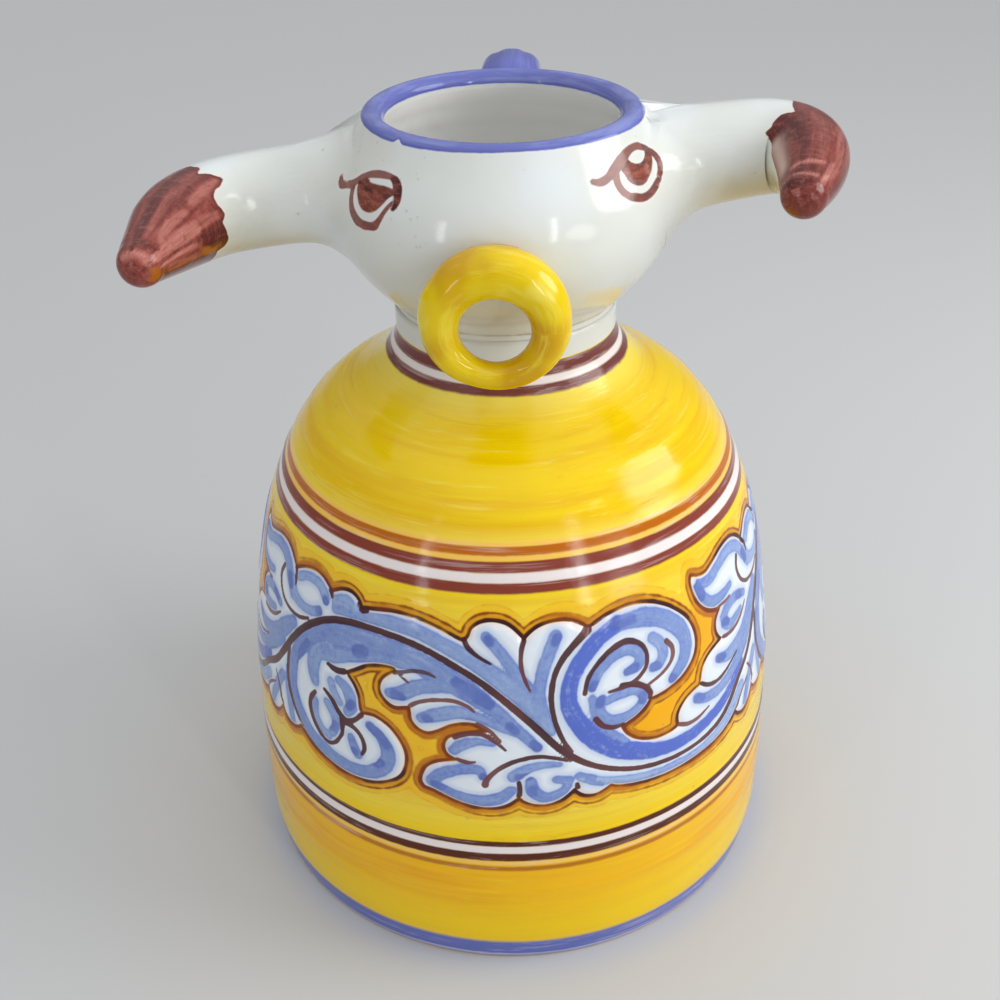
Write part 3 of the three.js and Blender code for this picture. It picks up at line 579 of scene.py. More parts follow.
def stroke_distance(strokes, x, y, shifts=(0,)):
    """For the nearest of the strokes: distance to its edge (negative inside), its strength, the
    distance from its centre line (negative on one side) and the place along it."""
    edge = np.full(x.shape, STROKE_REACH)
    strength, across, along = (np.zeros(x.shape) for _ in range(3))
    for value, points in strokes:
        path = smooth_through(points)
        run = length_along(path[:, :2])
        for shift in shifts:
            for i in range(len(path) - 1):
                start, end = path[i] + (shift, 0, 0), path[i + 1] + (shift, 0, 0)
                close = np.flatnonzero(near(start, end, x, y, STROKE_REACH))
                if not len(close):
                    continue
                centre, share = nearest_on(start, end, x[close], y[close])
                away = centre - (start[2] + share * (end[2] - start[2]))
                better = away < edge[close]
                chosen = close[better]
                edge[chosen] = away[better]
                strength[chosen] = value
                along[chosen] = (run[i] + share * (run[i + 1] - run[i]))[better]
                dx, dy = end[0] - start[0], end[1] - start[1]
                turn = dx * (y[chosen] - start[1]) - dy * (x[chosen] - start[0])
                across[chosen] = np.copysign(centre[better], turn)
    return edge, strength, across, along


def outline_on_chart(points, scale, repeat):
    """Outline given in degrees that closes round a chart, as a smooth path in millimetres."""
    return smooth_through([(p[0] * scale, *p[1:]) for p in points], period=repeat * scale)[:, :2]


def charted(strokes, scale):
    """Strokes with their angles turned into millimetres."""
    return [(value, [(p[0] * scale, *p[1:]) for p in points]) for value, points in strokes]


def soft_step(value, low, high):
    share = np.clip((value - low) / (high - low), 0, 1)
    return share * share * (3 - 2 * share)


def hump(value, middle, width):
    return np.exp(-(((value - middle) / width) ** 2))


def turn_of(points):
    """Radians round the jug, from -Y towards +X."""
    return np.arctan2(points[..., 0], -points[..., 1])


def radius_of(points):
    return np.hypot(points[..., 0], points[..., 1])


def radius_at(profile, height):
    return np.interp(height, profile[:, 1], profile[:, 0])


# Profiles of the thrown pieces: points of (radius, height)


def body_outside():
    neck_foot = BODY_HEIGHT - NECK_LENGTH
    lean = np.array([math.cos(SHOULDER_SLOPE), -math.sin(SHOULDER_SLOPE)])
    shoulder = np.array([SHOULDER_RADIUS, neck_foot - NECK_SWEEP])
    spread = FOOT_RADIUS + FOOT_SPREAD * (BELLY_RADIUS - FOOT_RADIUS)
    foot, belly = (FOOT_RADIUS, FOOT_BEVEL), (BELLY_RADIUS, BELLY_HEIGHT)
    belly_up = (BELLY_RADIUS, BELLY_HEIGHT + BELLY_FULLNESS)
    sweep_in = (NECK_RADIUS, neck_foot - NECK_SWEEP_IN * NECK_SWEEP)
    return joined(
        bezier(foot, (spread, FOOT_RISE / 2), (BELLY_RADIUS, FOOT_RISE), belly),
        bezier(belly, belly_up, shoulder + SHOULDER_FULLNESS * lean, shoulder, 80),
        bezier(shoulder, shoulder - NECK_SWEEP_OUT * NECK_SWEEP * lean, sweep_in, (NECK_RADIUS, neck_foot)),
        (NECK_RADIUS, BODY_HEIGHT),
    )


def head_outside():
    seat = BODY_HEIGHT
    lip_edge = seat + HEAD_HEIGHT - (HEAD_WALL / 2) * (1 - math.sin(LIP_LEAN))
    crease = np.array([NECK_RADIUS, seat + CREASE_HEIGHT])
    flare = np.array([math.cos(BOWL_FLARE), math.sin(BOWL_FLARE)])
    lean = np.array([math.sin(LIP_LEAN), -math.cos(LIP_LEAN)])
    cheek = np.array([CHEEK_RADIUS, seat + CHEEK_HEIGHT])
    lip = np.array([LIP_RADIUS, lip_edge])
    return joined(
        (NECK_RADIUS, seat),
        bezier(crease, crease + BOWL_FULLNESS * flare, cheek - (0, BOWL_FULLNESS), cheek, 50),
        bezier(cheek, cheek + (0, CHEEK_UPRIGHT), lip + CHEEK_UPRIGHT * lean, lip, 50),
    )


def arc(centre, radius, start, end, count):
    angles = np.linspace(start, end, count)
    return np.stack([centre[0] + radius * np.cos(angles), centre[1] + radius * np.sin(angles)], -1)


# Thrown meshes


def thrown(name, rows):
    """A form turned about Z. rows is a list of (radius, height, columns), from the middle of the
    underside up the outside and down the inside. A row of one column is a pole. Neighbouring rows
    have the same number of columns, or one has a multiple of the other's."""
    points, firsts, faces = [], [], []
    for radius, height, columns in rows:
        firsts.append(sum(len(p) for p in points))
        angles = 2 * math.pi * np.arange(columns) / columns
        reach = radius if columns > 1 else 0.0
        row = [reach * np.sin(angles), -reach * np.cos(angles), np.full(columns, height)]
        points.append(np.stack(row, -1))
    for i in range(len(rows) - 1):
        low, high = firsts[i], firsts[i + 1]
        below, above = rows[i][2], rows[i + 1][2]
        if below == above:
            for k in range(below):
                after = (k + 1) % below
                faces.append((low + k, low + after, high + after, high + k))
        elif below < above:
            faces += fan(low, below, high, above, upward=True)
        else:
            faces += fan(high, above, low, below, upward=False)
    mesh = bpy.data.meshes.new(name)
    mesh.from_pydata(np.concatenate(points) * MM, [], faces)
    mesh.update()
    return mesh


def fan(coarse, coarse_count, fine, fine_count, upward):
    """Triangles between a row and a finer one. With one coarse point it is a cap."""
    faces = []
    each = fine_count // coarse_count
    for k in range(coarse_count):
        here, after = coarse + k, coarse + (k + 1) % coarse_count
        for step in range(each):
            left = fine + k * each + step
            right = fine + (k * each + step + 1) % fine_count
            apex = here if coarse_count == 1 or step < each / 2 else after
            faces.append((apex, right, left) if upward else (apex, left, right))
        if coarse_count > 1:
            middle = fine + k * each + math.ceil(each / 2)
            faces.append((here, after, middle) if upward else (here, middle, after))
    return faces


def coordinates(mesh):
    flat = np.empty(len(mesh.vertices) * 3, np.float32)
    mesh.vertices.foreach_get("co", flat)
    return flat.reshape(-1, 3).astype(float) / MM


def set_coordinates(mesh, points):
    mesh.vertices.foreach_set("co", (np.asarray(points) * MM).astype(np.float32).ravel())
    mesh.update()


def store(mesh, **fields):
    """Keeps numbers for each vertex, under their names, for the materials."""
    for name, values in fields.items():
        kept = mesh.attributes.get(name) or mesh.attributes.new(name, "FLOAT", "POINT")
        kept.data.foreach_set("value", np.asarray(values, np.float32).ravel())


def stored(mesh, name):
    values = np.empty(len(mesh.vertices), np.float32)
    mesh.attributes[name].data.foreach_get("value", values)
    return values.astype(float)


def ripples(points, size, height, seed):
    """Gentle unevenness of hand-worked clay, in millimetres."""
    offset = Vector((seed * 17.3, seed * 5.1, seed * 9.7))
    return height * np.array([noise.noise(Vector(p) / size + offset) for p in points])


def piece(name, mesh, nodes, material):
    """Puts a finished mesh in the scene as the piece that stands for some CAD nodes."""
    mesh.name = name
    if not mesh.materials:
        mesh.materials.append(material)
    mesh.shade_smooth()
    made = bpy.data.objects.new(name, mesh)
    bpy.context.scene.collection.objects.link(made)
    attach(made, "root")
    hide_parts(*nodes)


# Nodes


class Value:
    """What a node works out at each point. Arithmetic on it adds the nodes that it needs."""

    def __init__(self, nodes, socket):
        self.nodes = nodes
        self.socket = socket

    def output(self, name):
        """Another output of the same node."""
        return Value(self.nodes, self.socket.node.outputs[name])

    def __add__(self, other):
        return self.nodes.maths("ADD", self, other)

    def __sub__(self, other):
        return self.nodes.maths("SUBTRACT", self, other)

    def __mul__(self, other):
        return self.nodes.maths("MULTIPLY", self, other)

    def __abs__(self):
        return self.nodes.maths("ABSOLUTE", self)

    def between(self, low, high, start=0.0, end=1.0):
        """Its place from low to high, eased, as a number from start to end."""
        inputs = {"Value": self, "From Min": low, "From Max": high, "To Min": start, "To Max": end}
        return self.nodes.add("ShaderNodeMapRange", inputs, interpolation_type="SMOOTHSTEP")

    def drawn(self, softness, wobble):
        """Mask of where this distance is below 0, with a hand-drawn edge."""
        return self.nodes.group(PAINTED_EDGE, Distance=self, Softness=softness, Wobble=wobble)


class Nodes:
    """Adds nodes to a tree. An input is a number, a colour, a vector or another node's value."""

    def __init__(self, tree):
        self.tree = tree

    def add(self, kind, inputs=None, output=0, **settings):
        made = self.tree.nodes.new(kind)
        for name, value in settings.items():
            setattr(made, name, value)
        for name, value in (inputs or {}).items():
            self.feed(made.inputs[name], value)
        return Value(self, made.outputs[output])

    def feed(self, socket, value):
        if isinstance(value, Value):
            self.tree.links.new(value.socket, socket)
        else:
            socket.default_value = value

    def maths(self, operation, *values, clamp=False):
        return self.add("ShaderNodeMath", dict(enumerate(values)), operation=operation, use_clamp=clamp)

    def vector(self, operation, *values):
        return self.add("ShaderNodeVectorMath", dict(enumerate(values)), operation=operation)

    def scaled(self, vector, size):
        return self.add("ShaderNodeVectorMath", {0: vector, "Scale": size}, operation="SCALE")

    def split(self, vector):
        made = self.add("ShaderNodeSeparateXYZ", {"Vector": vector})
        return [made.output(axis) for axis in "XYZ"]

    def point(self, x, y, z=0.0):
        return self.add("ShaderNodeCombineXYZ", {"X": x, "Y": y, "Z": z})

    def object_place(self):
        return self.add("ShaderNodeTexCoord", output="Object")

    def noise(self, place, scale, detail, roughness=0.5):
        inputs = {"Vector": place, "Scale": scale, "Detail": detail, "Roughness": roughness}
        return self.add("ShaderNodeTexNoise", inputs)

    def cells(self, place, scale):
        """Distance to the nearest of many scattered points."""
        return self.add("ShaderNodeTexVoronoi", {"Vector": place, "Scale": scale}, "Distance")

    def bristles(self, place, fineness, contrast=1.0):
        return self.group(BRISTLES, Place=place, Fineness=fineness, Contrast=contrast)

    def mix(self, factor, under, over):
        return self.add("ShaderNodeMix", {0: factor, 6: under, 7: over}, 2, data_type="RGBA")

    def layered(self, colour, *layers):
        """Lays paint over a colour. Each layer is (where it covers, its colour)."""
        for cover, laid in layers:
            colour = self.mix(cover, colour, laid)
        return colour

    def shared(self, factor, first, second):
        """A number between two others."""
        return self.add("ShaderNodeMix", {0: factor, 2: first, 3: second}, data_type="FLOAT")

    def group(self, tree, **inputs):
        return self.add("ShaderNodeGroup", inputs, node_tree=tree)

    def stored(self, name):
        return self.add("ShaderNodeAttribute", output="Fac", attribute_name=name)


SOCKET_KINDS = {float: "Float", int: "Int", tuple: "Vector"}


def new_group(name, kind, inputs, outputs):
    """An empty node group: its builder, its inputs and its outputs. An input is given by its
    default, or by its kind where it has none, and an output by its kind."""
    tree = bpy.data.node_groups.new(name, kind)
    for title, default in inputs.items():
        has_default = not isinstance(default, str)
        socket_kind = SOCKET_KINDS[type(default)] if has_default else default
        made = tree.interface.new_socket(title, in_out="INPUT", socket_type="NodeSocket" + socket_kind)
        if has_default:
            made.default_value = default
    for title, socket_kind in outputs.items():
        tree.interface.new_socket(title, in_out="OUTPUT", socket_type="NodeSocket" + socket_kind)
    nodes = Nodes(tree)
    given = {socket.name: Value(nodes, socket) for socket in tree.nodes.new("NodeGroupInput").outputs}
    return nodes, given, tree.nodes.new("NodeGroupOutput").inputs


def paint(red, green, blue):
    """A colour given as display values from 0 to 255."""
    shares = (red / 255, green / 255, blue / 255)
    linear = [v / 12.92 if v <= 0.04045 else ((v + 0.055) / 1.055) ** 2.4 for v in shares]
    return (*linear, 1.0)


# Pulled clay: a section carried along a path by Geometry Nodes


def pulled_clay_nodes():
    """Tree that turns a path into a closed clay rope with the section stored on its points."""
    nodes, given, result = new_group(
        "pulled_clay",
        "GeometryNodeTree",
        {"Path": "Geometry", "Rows": 100, "Sides": 48, "Section Axis": (0, 0, 1), "Glaze": "Material"},
        {"Clay": "Geometry"},
    )
    curve = nodes.add("GeometryNodeMeshToCurve", {"Mesh": given["Path"]})
    sides = given["Sides"] + 1
    sheet = {"Size X": 1.0, "Size Y": 1.0, "Vertices X": sides, "Vertices Y": given["Rows"]}
    clay = nodes.add("GeometryNodeMeshGrid", sheet)
    x, y, _ = nodes.split(nodes.add("GeometryNodeInputPosition"))
    around = (x + 0.5) * (2 * math.pi)
    share = y + 0.5

    def sampled(attribute):
        value = nodes.add("GeometryNodeInputNamedAttribute", {"Name": attribute}, data_type="FLOAT")
        inputs = {"Curves": curve, "Value": value, "Factor": share}
        return nodes.add("GeometryNodeSampleCurve", inputs, data_type="FLOAT", use_all_curves=True)

    width, thickness, run = (sampled(name) for name in ("half_width", "half_thickness", "run"))
    tangent = width.output("Tangent")
    second = nodes.vector("NORMALIZE", nodes.vector("CROSS_PRODUCT", tangent, given["Section Axis"]))
    first = nodes.vector("CROSS_PRODUCT", second, tangent)
    across = nodes.scaled(first, nodes.maths("COSINE", around) * width.output("Value"))
    through = nodes.scaled(second, nodes.maths("SINE", around) * thickness.output("Value"))
    place = nodes.vector("ADD", nodes.vector("ADD", across, through), width.output("Position"))
    for name, value in (("run", run.output("Value")), ("around", around)):
        inputs = {"Geometry": clay, "Name": name, "Value": value}
        clay = nodes.add("GeometryNodeStoreNamedAttribute", inputs, data_type="FLOAT", domain="POINT")
    for step, inputs in (
        ("GeometryNodeSetPosition", {"Position": place}),
        ("GeometryNodeMergeByDistance", {"Distance": 1e-6}),
        ("GeometryNodeSetShadeSmooth", {"Shade Smooth": True}),
        ("GeometryNodeRealizeInstances", {}),
        ("GeometryNodeSetMaterial", {"Material": given["Glaze"]}),
    ):
        clay = nodes.add(step, {"Geometry": clay, **inputs})
    nodes.feed(result["Clay"], clay)
    return nodes.tree


def pulled(name, tree, path, half_width, half_thickness, grid, axis, glaze, closed=False):
    """Runs the pulled clay tree on a path in millimetres and returns the plain mesh."""
    count = len(path)
    edges = [(i, (i + 1) % count) for i in range(count if closed else count - 1)]
    guide_mesh = bpy.data.meshes.new(name + "_path")
    guide_mesh.from_pydata(np.asarray(path) * MM, edges, [])
    sizes = {"half_width": np.asarray(half_width) * MM, "half_thickness": np.asarray(half_thickness) * MM}
    store(guide_mesh, **sizes, run=length_along(np.asarray(path)))
    guide = bpy.data.objects.new(name + "_path", guide_mesh)
    bpy.context.scene.collection.objects.link(guide)
    modifier = guide.modifiers.new("pulled_clay", "NODES")
    modifier.node_group = tree
    values = {"Rows": grid[0], "Sides": grid[1], "Section Axis": axis, "Glaze": glaze}
    for item in tree.interface.items_tree:
        if item.in_out == "INPUT" and item.name in values:
            modifier[item.identifier] = values[item.name]
    evaluated = guide.evaluated_get(bpy.context.evaluated_depsgraph_get())
    mesh = bpy.data.meshes.new_from_object(evaluated)
    bpy.data.objects.remove(guide)
    bpy.data.meshes.remove(guide_mesh)
    return mesh


# Luting: a pulled piece grows out of the thrown one with a rounded joint


class Thrown:
    """Signed distances to a thrown form, looked up on a fine grid: below 0 inside. "filled" takes
    the form as solid up to its top, "clay" only the wall itself. The bulge is the unevenness of
    the form's skin, on a grid of its own."""

    STEP = 0.3
    WIDEST = 100
    FURTHEST = 60.0
    BELOW = 20
    BULGE_STEP = 1.5
    BULGE_TURN = 2

    def __init__(self, outside, section, low, high, unevenness):
        top = section[np.argmax(section[:, 1])]
        rim = section[(section[:, 1] > outside[-1, 1]) & (section[:, 0] > top[0])]
        foot = low - self.BELOW
        filled = joined((0, foot), (outside[0, 0], foot), outside, rim, top, (0, top[1]), (0, foot))
        self.low = low
        self.clay = self.sampled(section, low, high)
        self.filled = self.sampled(filled, low, high)
        turns = np.radians(np.arange(-180, 180 + self.BULGE_TURN, self.BULGE_TURN))
        turns, heights = np.meshgrid(turns, np.arange(low, high, self.BULGE_STEP), indexing="ij")
        radii = radius_at(outside, heights)
        skin = np.stack([radii * np.sin(turns), -radii * np.cos(turns), heights], -1)
        self.bulge = unevenness(skin.reshape(-1, 3)).reshape(radii.shape)

    def sampled(self, polygon, low, high):
        radii, heights = np.arange(0, self.WIDEST, self.STEP), np.arange(low, high, self.STEP)
        r, z = np.meshgrid(radii, heights, indexing="ij")
        return signed_distance(polygon, r.ravel(), z.ravel(), self.FURTHEST).reshape(r.shape)

    def look_up(self, grid, points):
        return between_cells(grid, radius_of(points) / self.STEP, (points[..., 2] - self.low) / self.STEP)

    def to_filled(self, points):
        turn = np.degrees(turn_of(points))
        level = (points[..., 2] - self.low) / self.BULGE_STEP
        bulge = between_cells(self.bulge, (turn + 180) / self.BULGE_TURN, level)
        return self.look_up(self.filled, points) - bulge

    def slope(self, points):
        """The direction in which the distance to the wall's clay grows."""
        ahead, behind = (
            np.stack([self.look_up(self.clay, points + step) for step in reach * np.eye(3)], -1)
            for reach in (0.4, -0.4)
        )
        grows = ahead - behind
        return grows / np.maximum(np.linalg.norm(grows, axis=1, keepdims=True), 1e-6)

    def pushed_into_clay(self, points, share, depth):
        """Points moved straight into the wall, at least depth under its skin."""
        points = points.copy()
        for _ in range(3):
            excess = np.maximum(self.look_up(self.clay, points) + depth, 0) * share
            points -= self.slope(points) * excess[:, None]
        return points


def between_cells(grid, row, column):
    """Value of a grid between its cells."""
    row = np.clip(row, 0, grid.shape[0] - 1.001)
    column = np.clip(column, 0, grid.shape[1] - 1.001)
    i, j = row.astype(int), column.astype(int)
    u, v = row - i, column - j
    early = grid[i, j] * (1 - u) * (1 - v) + grid[i + 1, j] * u * (1 - v)
    return early + grid[i, j + 1] * (1 - u) * v + grid[i + 1, j + 1] * u * v


def blended(first, second, radius):
    """Smaller of two distances, rounded where they are close."""
    overlap = np.maximum(radius - np.abs(first - second), 0) / radius
    return np.minimum(first, second) - overlap**2 * radius / 4


def root_lean(host, centre, tangent, reach):
    """How far along the tangent each point of the first ring moves to lie deep in the wall."""
    along = np.linspace(-LEAN_REACH, LEAN_REACH, LEAN_STEPS)
    lean = np.empty(len(reach))
    for i, point in enumerate(centre + reach):
        away = host.to_filled(point + along[:, None] * tangent)
        lean[i] = np.interp(-ROOT_DEPTH, np.maximum.accumulate(away), along)
    return lean


# Where two skins meet, the pulled one runs on this far under the other
TUCK = 0.05

# Points deeper than BURIED in the host could come out of its wall on the far side, so they stay
# KEPT_UNDER its skins. Under the lip they stay LIP_COVER below it, clear of the bowl.
BURIED = 1.5
KEPT_UNDER = 0.9
LIP_LINE_HEIGHT = 196
LIP_LINE_RADIUS = 35.2
LIP_COVER = 0.2

# Rays on which a joint's skin is looked for: their start as a share of the piece's own radius,
# how far they go beyond it as a share of the joint's radius, and the steps between
RAY_START = 0.4
RAY_REACH = 1.35
RAY_STEPS = 170

# How far a root may lean along its path, and the steps in which that is looked for
LEAN_REACH = 16
LEAN_STEPS = 321


def luted(points, centres, tangents, lean, host, joint):
    """Moves each point along its own ray from the centre line to the rounded joint with the host.
    lean tips the rays along the path near the root, and joint is the joint's radius. Beyond the
    joint the clay runs on just under the host's skin, so that the two surfaces meet flush."""
    outward = points - centres
    own = np.linalg.norm(outward, axis=1)
    solid = np.flatnonzero(own > 0.02)
    own = own[solid]
    ray = outward[solid] + tangents[solid] * lean[solid, None]
    ray /= own[:, None]
    longest = 1 + RAY_REACH * joint[solid] / own
    steps = RAY_START + np.linspace(0, 1, RAY_STEPS) * (longest - RAY_START)[:, None]
    along_ray = centres[solid][:, None, :] + ray[:, None, :] * steps[..., None] * own[:, None, None]
    mine = (steps - 1) * own[:, None]
    field = blended(host.to_filled(along_ray) + TUCK, mine, joint[solid][:, None])
    outside = field > 0
    first = np.argmax(outside, axis=1)
    rows = np.arange(len(solid))
    before = np.maximum(first - 1, 0)
    f0, f1 = field[rows, before], field[rows, first]
    leaves = outside.any(axis=1) & (first > 0)
    share = np.where(leaves, f0 / np.where(leaves, f0 - f1, 1), 0)
    crossing = steps[rows, before] + share * (steps[rows, first] - steps[rows, before])
    distance = np.where(outside.any(axis=1), crossing, longest)
    moved = points.copy()
    moved[solid] = centres[solid] + ray * (distance * own)[:, None]
    skin = host.to_filled(moved)
    by_lip = soft_step(-radius_of(moved), -LIP_LINE_RADIUS - 0.6, -LIP_LINE_RADIUS + 0.6)
    moved = host.pushed_into_clay(moved, by_lip * (moved[:, 2] > LIP_LINE_HEIGHT), LIP_COVER)
    return host.pushed_into_clay(moved, skin < -BURIED, KEPT_UNDER)


def path_frames(path, run):
    """Centre and direction of a path at distances along it."""
    total = length_along(path)
    tangent = np.gradient(path, total, axis=0)
    centres = at_length(path, run)
    along = np.stack([np.interp(run, total, tangent[:, k]) for k in range(3)], -1)
    return centres, along / np.linalg.norm(along, axis=1, keepdims=True)


def root_place(host, path, reach, depth):
    """Distance along a path at which it is that deep in the host."""
    where = np.linspace(0, reach, 400)
    away = np.maximum.accumulate(host.to_filled(at_length(path, where)))
    return np.interp(-depth, away, where)


def section_frame(tangents, axis):
    """The section's two directions, as the pulled clay tree lays them."""
    second = np.cross(tangents, axis)
    second /= np.linalg.norm(second, axis=-1, keepdims=True)
    return np.cross(second, tangents), second


def lean_round_root(host, centre, tangent, half_width, half_thickness, axis, around):
    """Lean at the root for every point, from the angle at which it lies round the section."""
    first, second = section_frame(tangent, axis)
    turns = np.linspace(0, 2 * math.pi, 73)
    reach = half_width * np.cos(turns)[:, None] * first + half_thickness * np.sin(turns)[:, None] * second
    return np.interp(around, turns, root_lean(host, centre, tangent, reach))


def moved_outward(points, outward, length, distance):
    """Points moved away from their centre line."""
    return points + outward / length * distance[:, None]


# Finishes


def bristle_marks_nodes():
    """Streaks that a loaded brush leaves: fine across its stroke and long along it."""
    inputs = {"Place": (0, 0, 0), "Fineness": 1.0, "Contrast": 1.0}
    nodes, given, result = new_group("bristle_marks", "ShaderNodeTree", inputs, {"Marks": "Float"})
    coarse = nodes.noise(given["Place"], given["Fineness"], 2.0)
    fine = nodes.noise(given["Place"], given["Fineness"] * 3.7, 3.0, 0.6)
    centred = (coarse * 0.6 + fine * 0.4 - 0.5) * (given["Contrast"] * 2.6)
    nodes.feed(result["Marks"], nodes.maths("ADD", centred, 0.5, clamp=True))
    return nodes.tree


def painted_edge_nodes():
    """Mask that is 1 where a distance in millimetres is below 0, with a hand-drawn edge."""
    inputs = {"Distance": 0.0, "Softness": 0.25, "Wobble": 0.15}
    nodes, given, result = new_group("painted_edge", "ShaderNodeTree", inputs, {"Mask": "Float"})
    drift = (nodes.noise(nodes.object_place(), 420.0, 2.0) - 0.5) * (given["Wobble"] * 2.5)
    half = given["Softness"] * 0.5
    nodes.feed(result["Mask"], (given["Distance"] + drift).between(half * -1, half, 1.0, 0.0))
    return nodes.tree


def glaze_skin_nodes():
    """Fine unevenness of a fired glaze: slow waves, dimples, orange peel and a few pinholes."""
    inputs = {"Roughness": 0.12, "Pinholes": 0.5}
    outputs = {"Height": "Float", "Roughness": "Float", "Pinhole": "Float"}
    nodes, given, result = new_group("glaze_skin", "ShaderNodeTree", inputs, outputs)
    place = nodes.object_place()
    waves = nodes.noise(place, 55.0, 1.0)
    peel = nodes.noise(place, 700.0, 2.0)
    dimples = nodes.noise(place, 160.0, 1.0)
    rare = nodes.noise(place, 90.0, 0.0).between(0.62, 0.7)
    pinhole = nodes.cells(place, 150.0).between(0.05, 0.09, 1.0, 0.0) * rare * given["Pinholes"]
    nodes.feed(result["Height"], waves * 1.6 + peel * 0.03 + dimples * 0.3 - pinhole * 0.35)
    uneven = (waves - 0.5) * 0.08
    nodes.feed(result["Roughness"], nodes.maths("ADD", given["Roughness"], uneven, clamp=True))
    nodes.feed(result["Pinhole"], pinhole)
    return nodes.tree


BRISTLES = bristle_marks_nodes()
PAINTED_EDGE = painted_edge_nodes()
GLAZE_SKIN = glaze_skin_nodes()

# Display colours of the glazes and of the painter's pigments, and the inside's white, lightened as painted
# light
YELLOW = paint(236, 200, 0)
THIN_YELLOW = paint(240, 220, 92)
DEEP_YELLOW = paint(228, 178, 0)
AMBER = paint(236, 168, 0)
ORANGE = paint(184, 100, 8)
PALE_ORANGE = paint(242, 192, 88)
WHITE = paint(214, 216, 208)
# Painted light: the inside is painted a brighter white than the glaze outside, standing in for light falling
# into the jug
LIGHTENED_INSIDE_WHITE = paint(238, 237, 233)
COOL_WHITE = paint(220, 227, 234)
HEAD_WHITE = paint(220, 225, 225)
PINK_WHITE = paint(232, 222, 220)
BROWN = paint(132, 58, 44)
NECK_BROWN = paint(116, 60, 54)
DARK_BROWN = paint(82, 28, 4)
DEEP_BLUE = paint(84, 106, 192)
WATERY_BLUE = paint(178, 194, 222)
BASE_BLUE = paint(92, 104, 178)

# Roughness of the fired glaze, and how strongly its unevenness bends the light
GLAZE_ROUGHNESS = 0.13
BUMP_STRENGTH = 0.55
BUMP_REACH = 0.0006

# Painted rings: where each starts and ends in height, how soft its edges are, and its colour. The second is
# partly a painted highlight.
PAINTED_RINGS = [
    (0.3, 7.3, 1.8, BASE_BLUE),
    # A paler blue along the foot's lower edge, where the glaze wears thin, and partly a painted highlight
    (0.8, 1.6, 0.6, paint(158, 168, 212)),
    (33.8, 35.4, 0.9, paint(180, 112, 2)),
    (35.9, 37.2, 0.6, PALE_ORANGE),
    (37.3, 39.8, 0.6, DARK_BROWN),
    (42.0, 43.9, 0.6, DARK_BROWN),
    (39.7, 42.1, 0.6, PINK_WHITE),
    (111.1, 113.6, 0.6, BROWN),
    (115.6, 118.1, 0.6, BROWN),
    (113.5, 115.7, 0.6, PINK_WHITE),
    (118.1, 119.4, 0.5, PALE_ORANGE),
    (119.2, 121.2, 0.6, ORANGE),
    (121.2, 122, 0.6, PALE_ORANGE),
    (145.2, 147.3, 0.6, NECK_BROWN),
    (148.6, 151.9, 0.6, NECK_BROWN),
    (147.2, 148.7, 0.6, PINK_WHITE),
]


def glaze_material(name, colour_of):
    """A glossy glaze. colour_of(nodes, place) gives its colour, its roughness and its relief."""
    material = bpy.data.materials.new(name)
    material.use_nodes = True
    material.node_tree.nodes.clear()
    nodes = Nodes(material.node_tree)
    colour, roughness, relief = colour_of(nodes, nodes.object_place())
    skin = nodes.group(GLAZE_SKIN, Roughness=roughness, Pinholes=0.5)
    speck = paint(150, 128, 122)
    bump = {"Strength": BUMP_STRENGTH, "Distance": BUMP_REACH, "Height": skin.output("Height") + relief}
    surface = nodes.add(
        "ShaderNodeBsdfPrincipled",
        {
            "Base Color": nodes.mix(skin.output("Pinhole") * 0.5, colour, speck),
            "Roughness": skin.output("Roughness"),
            "IOR": 1.45,
            "Specular IOR Level": 0.35,
            "Normal": nodes.add("ShaderNodeBump", bump),
        },
    )
    nodes.feed(nodes.tree.nodes.new("ShaderNodeOutputMaterial").inputs["Surface"], surface)
    return material


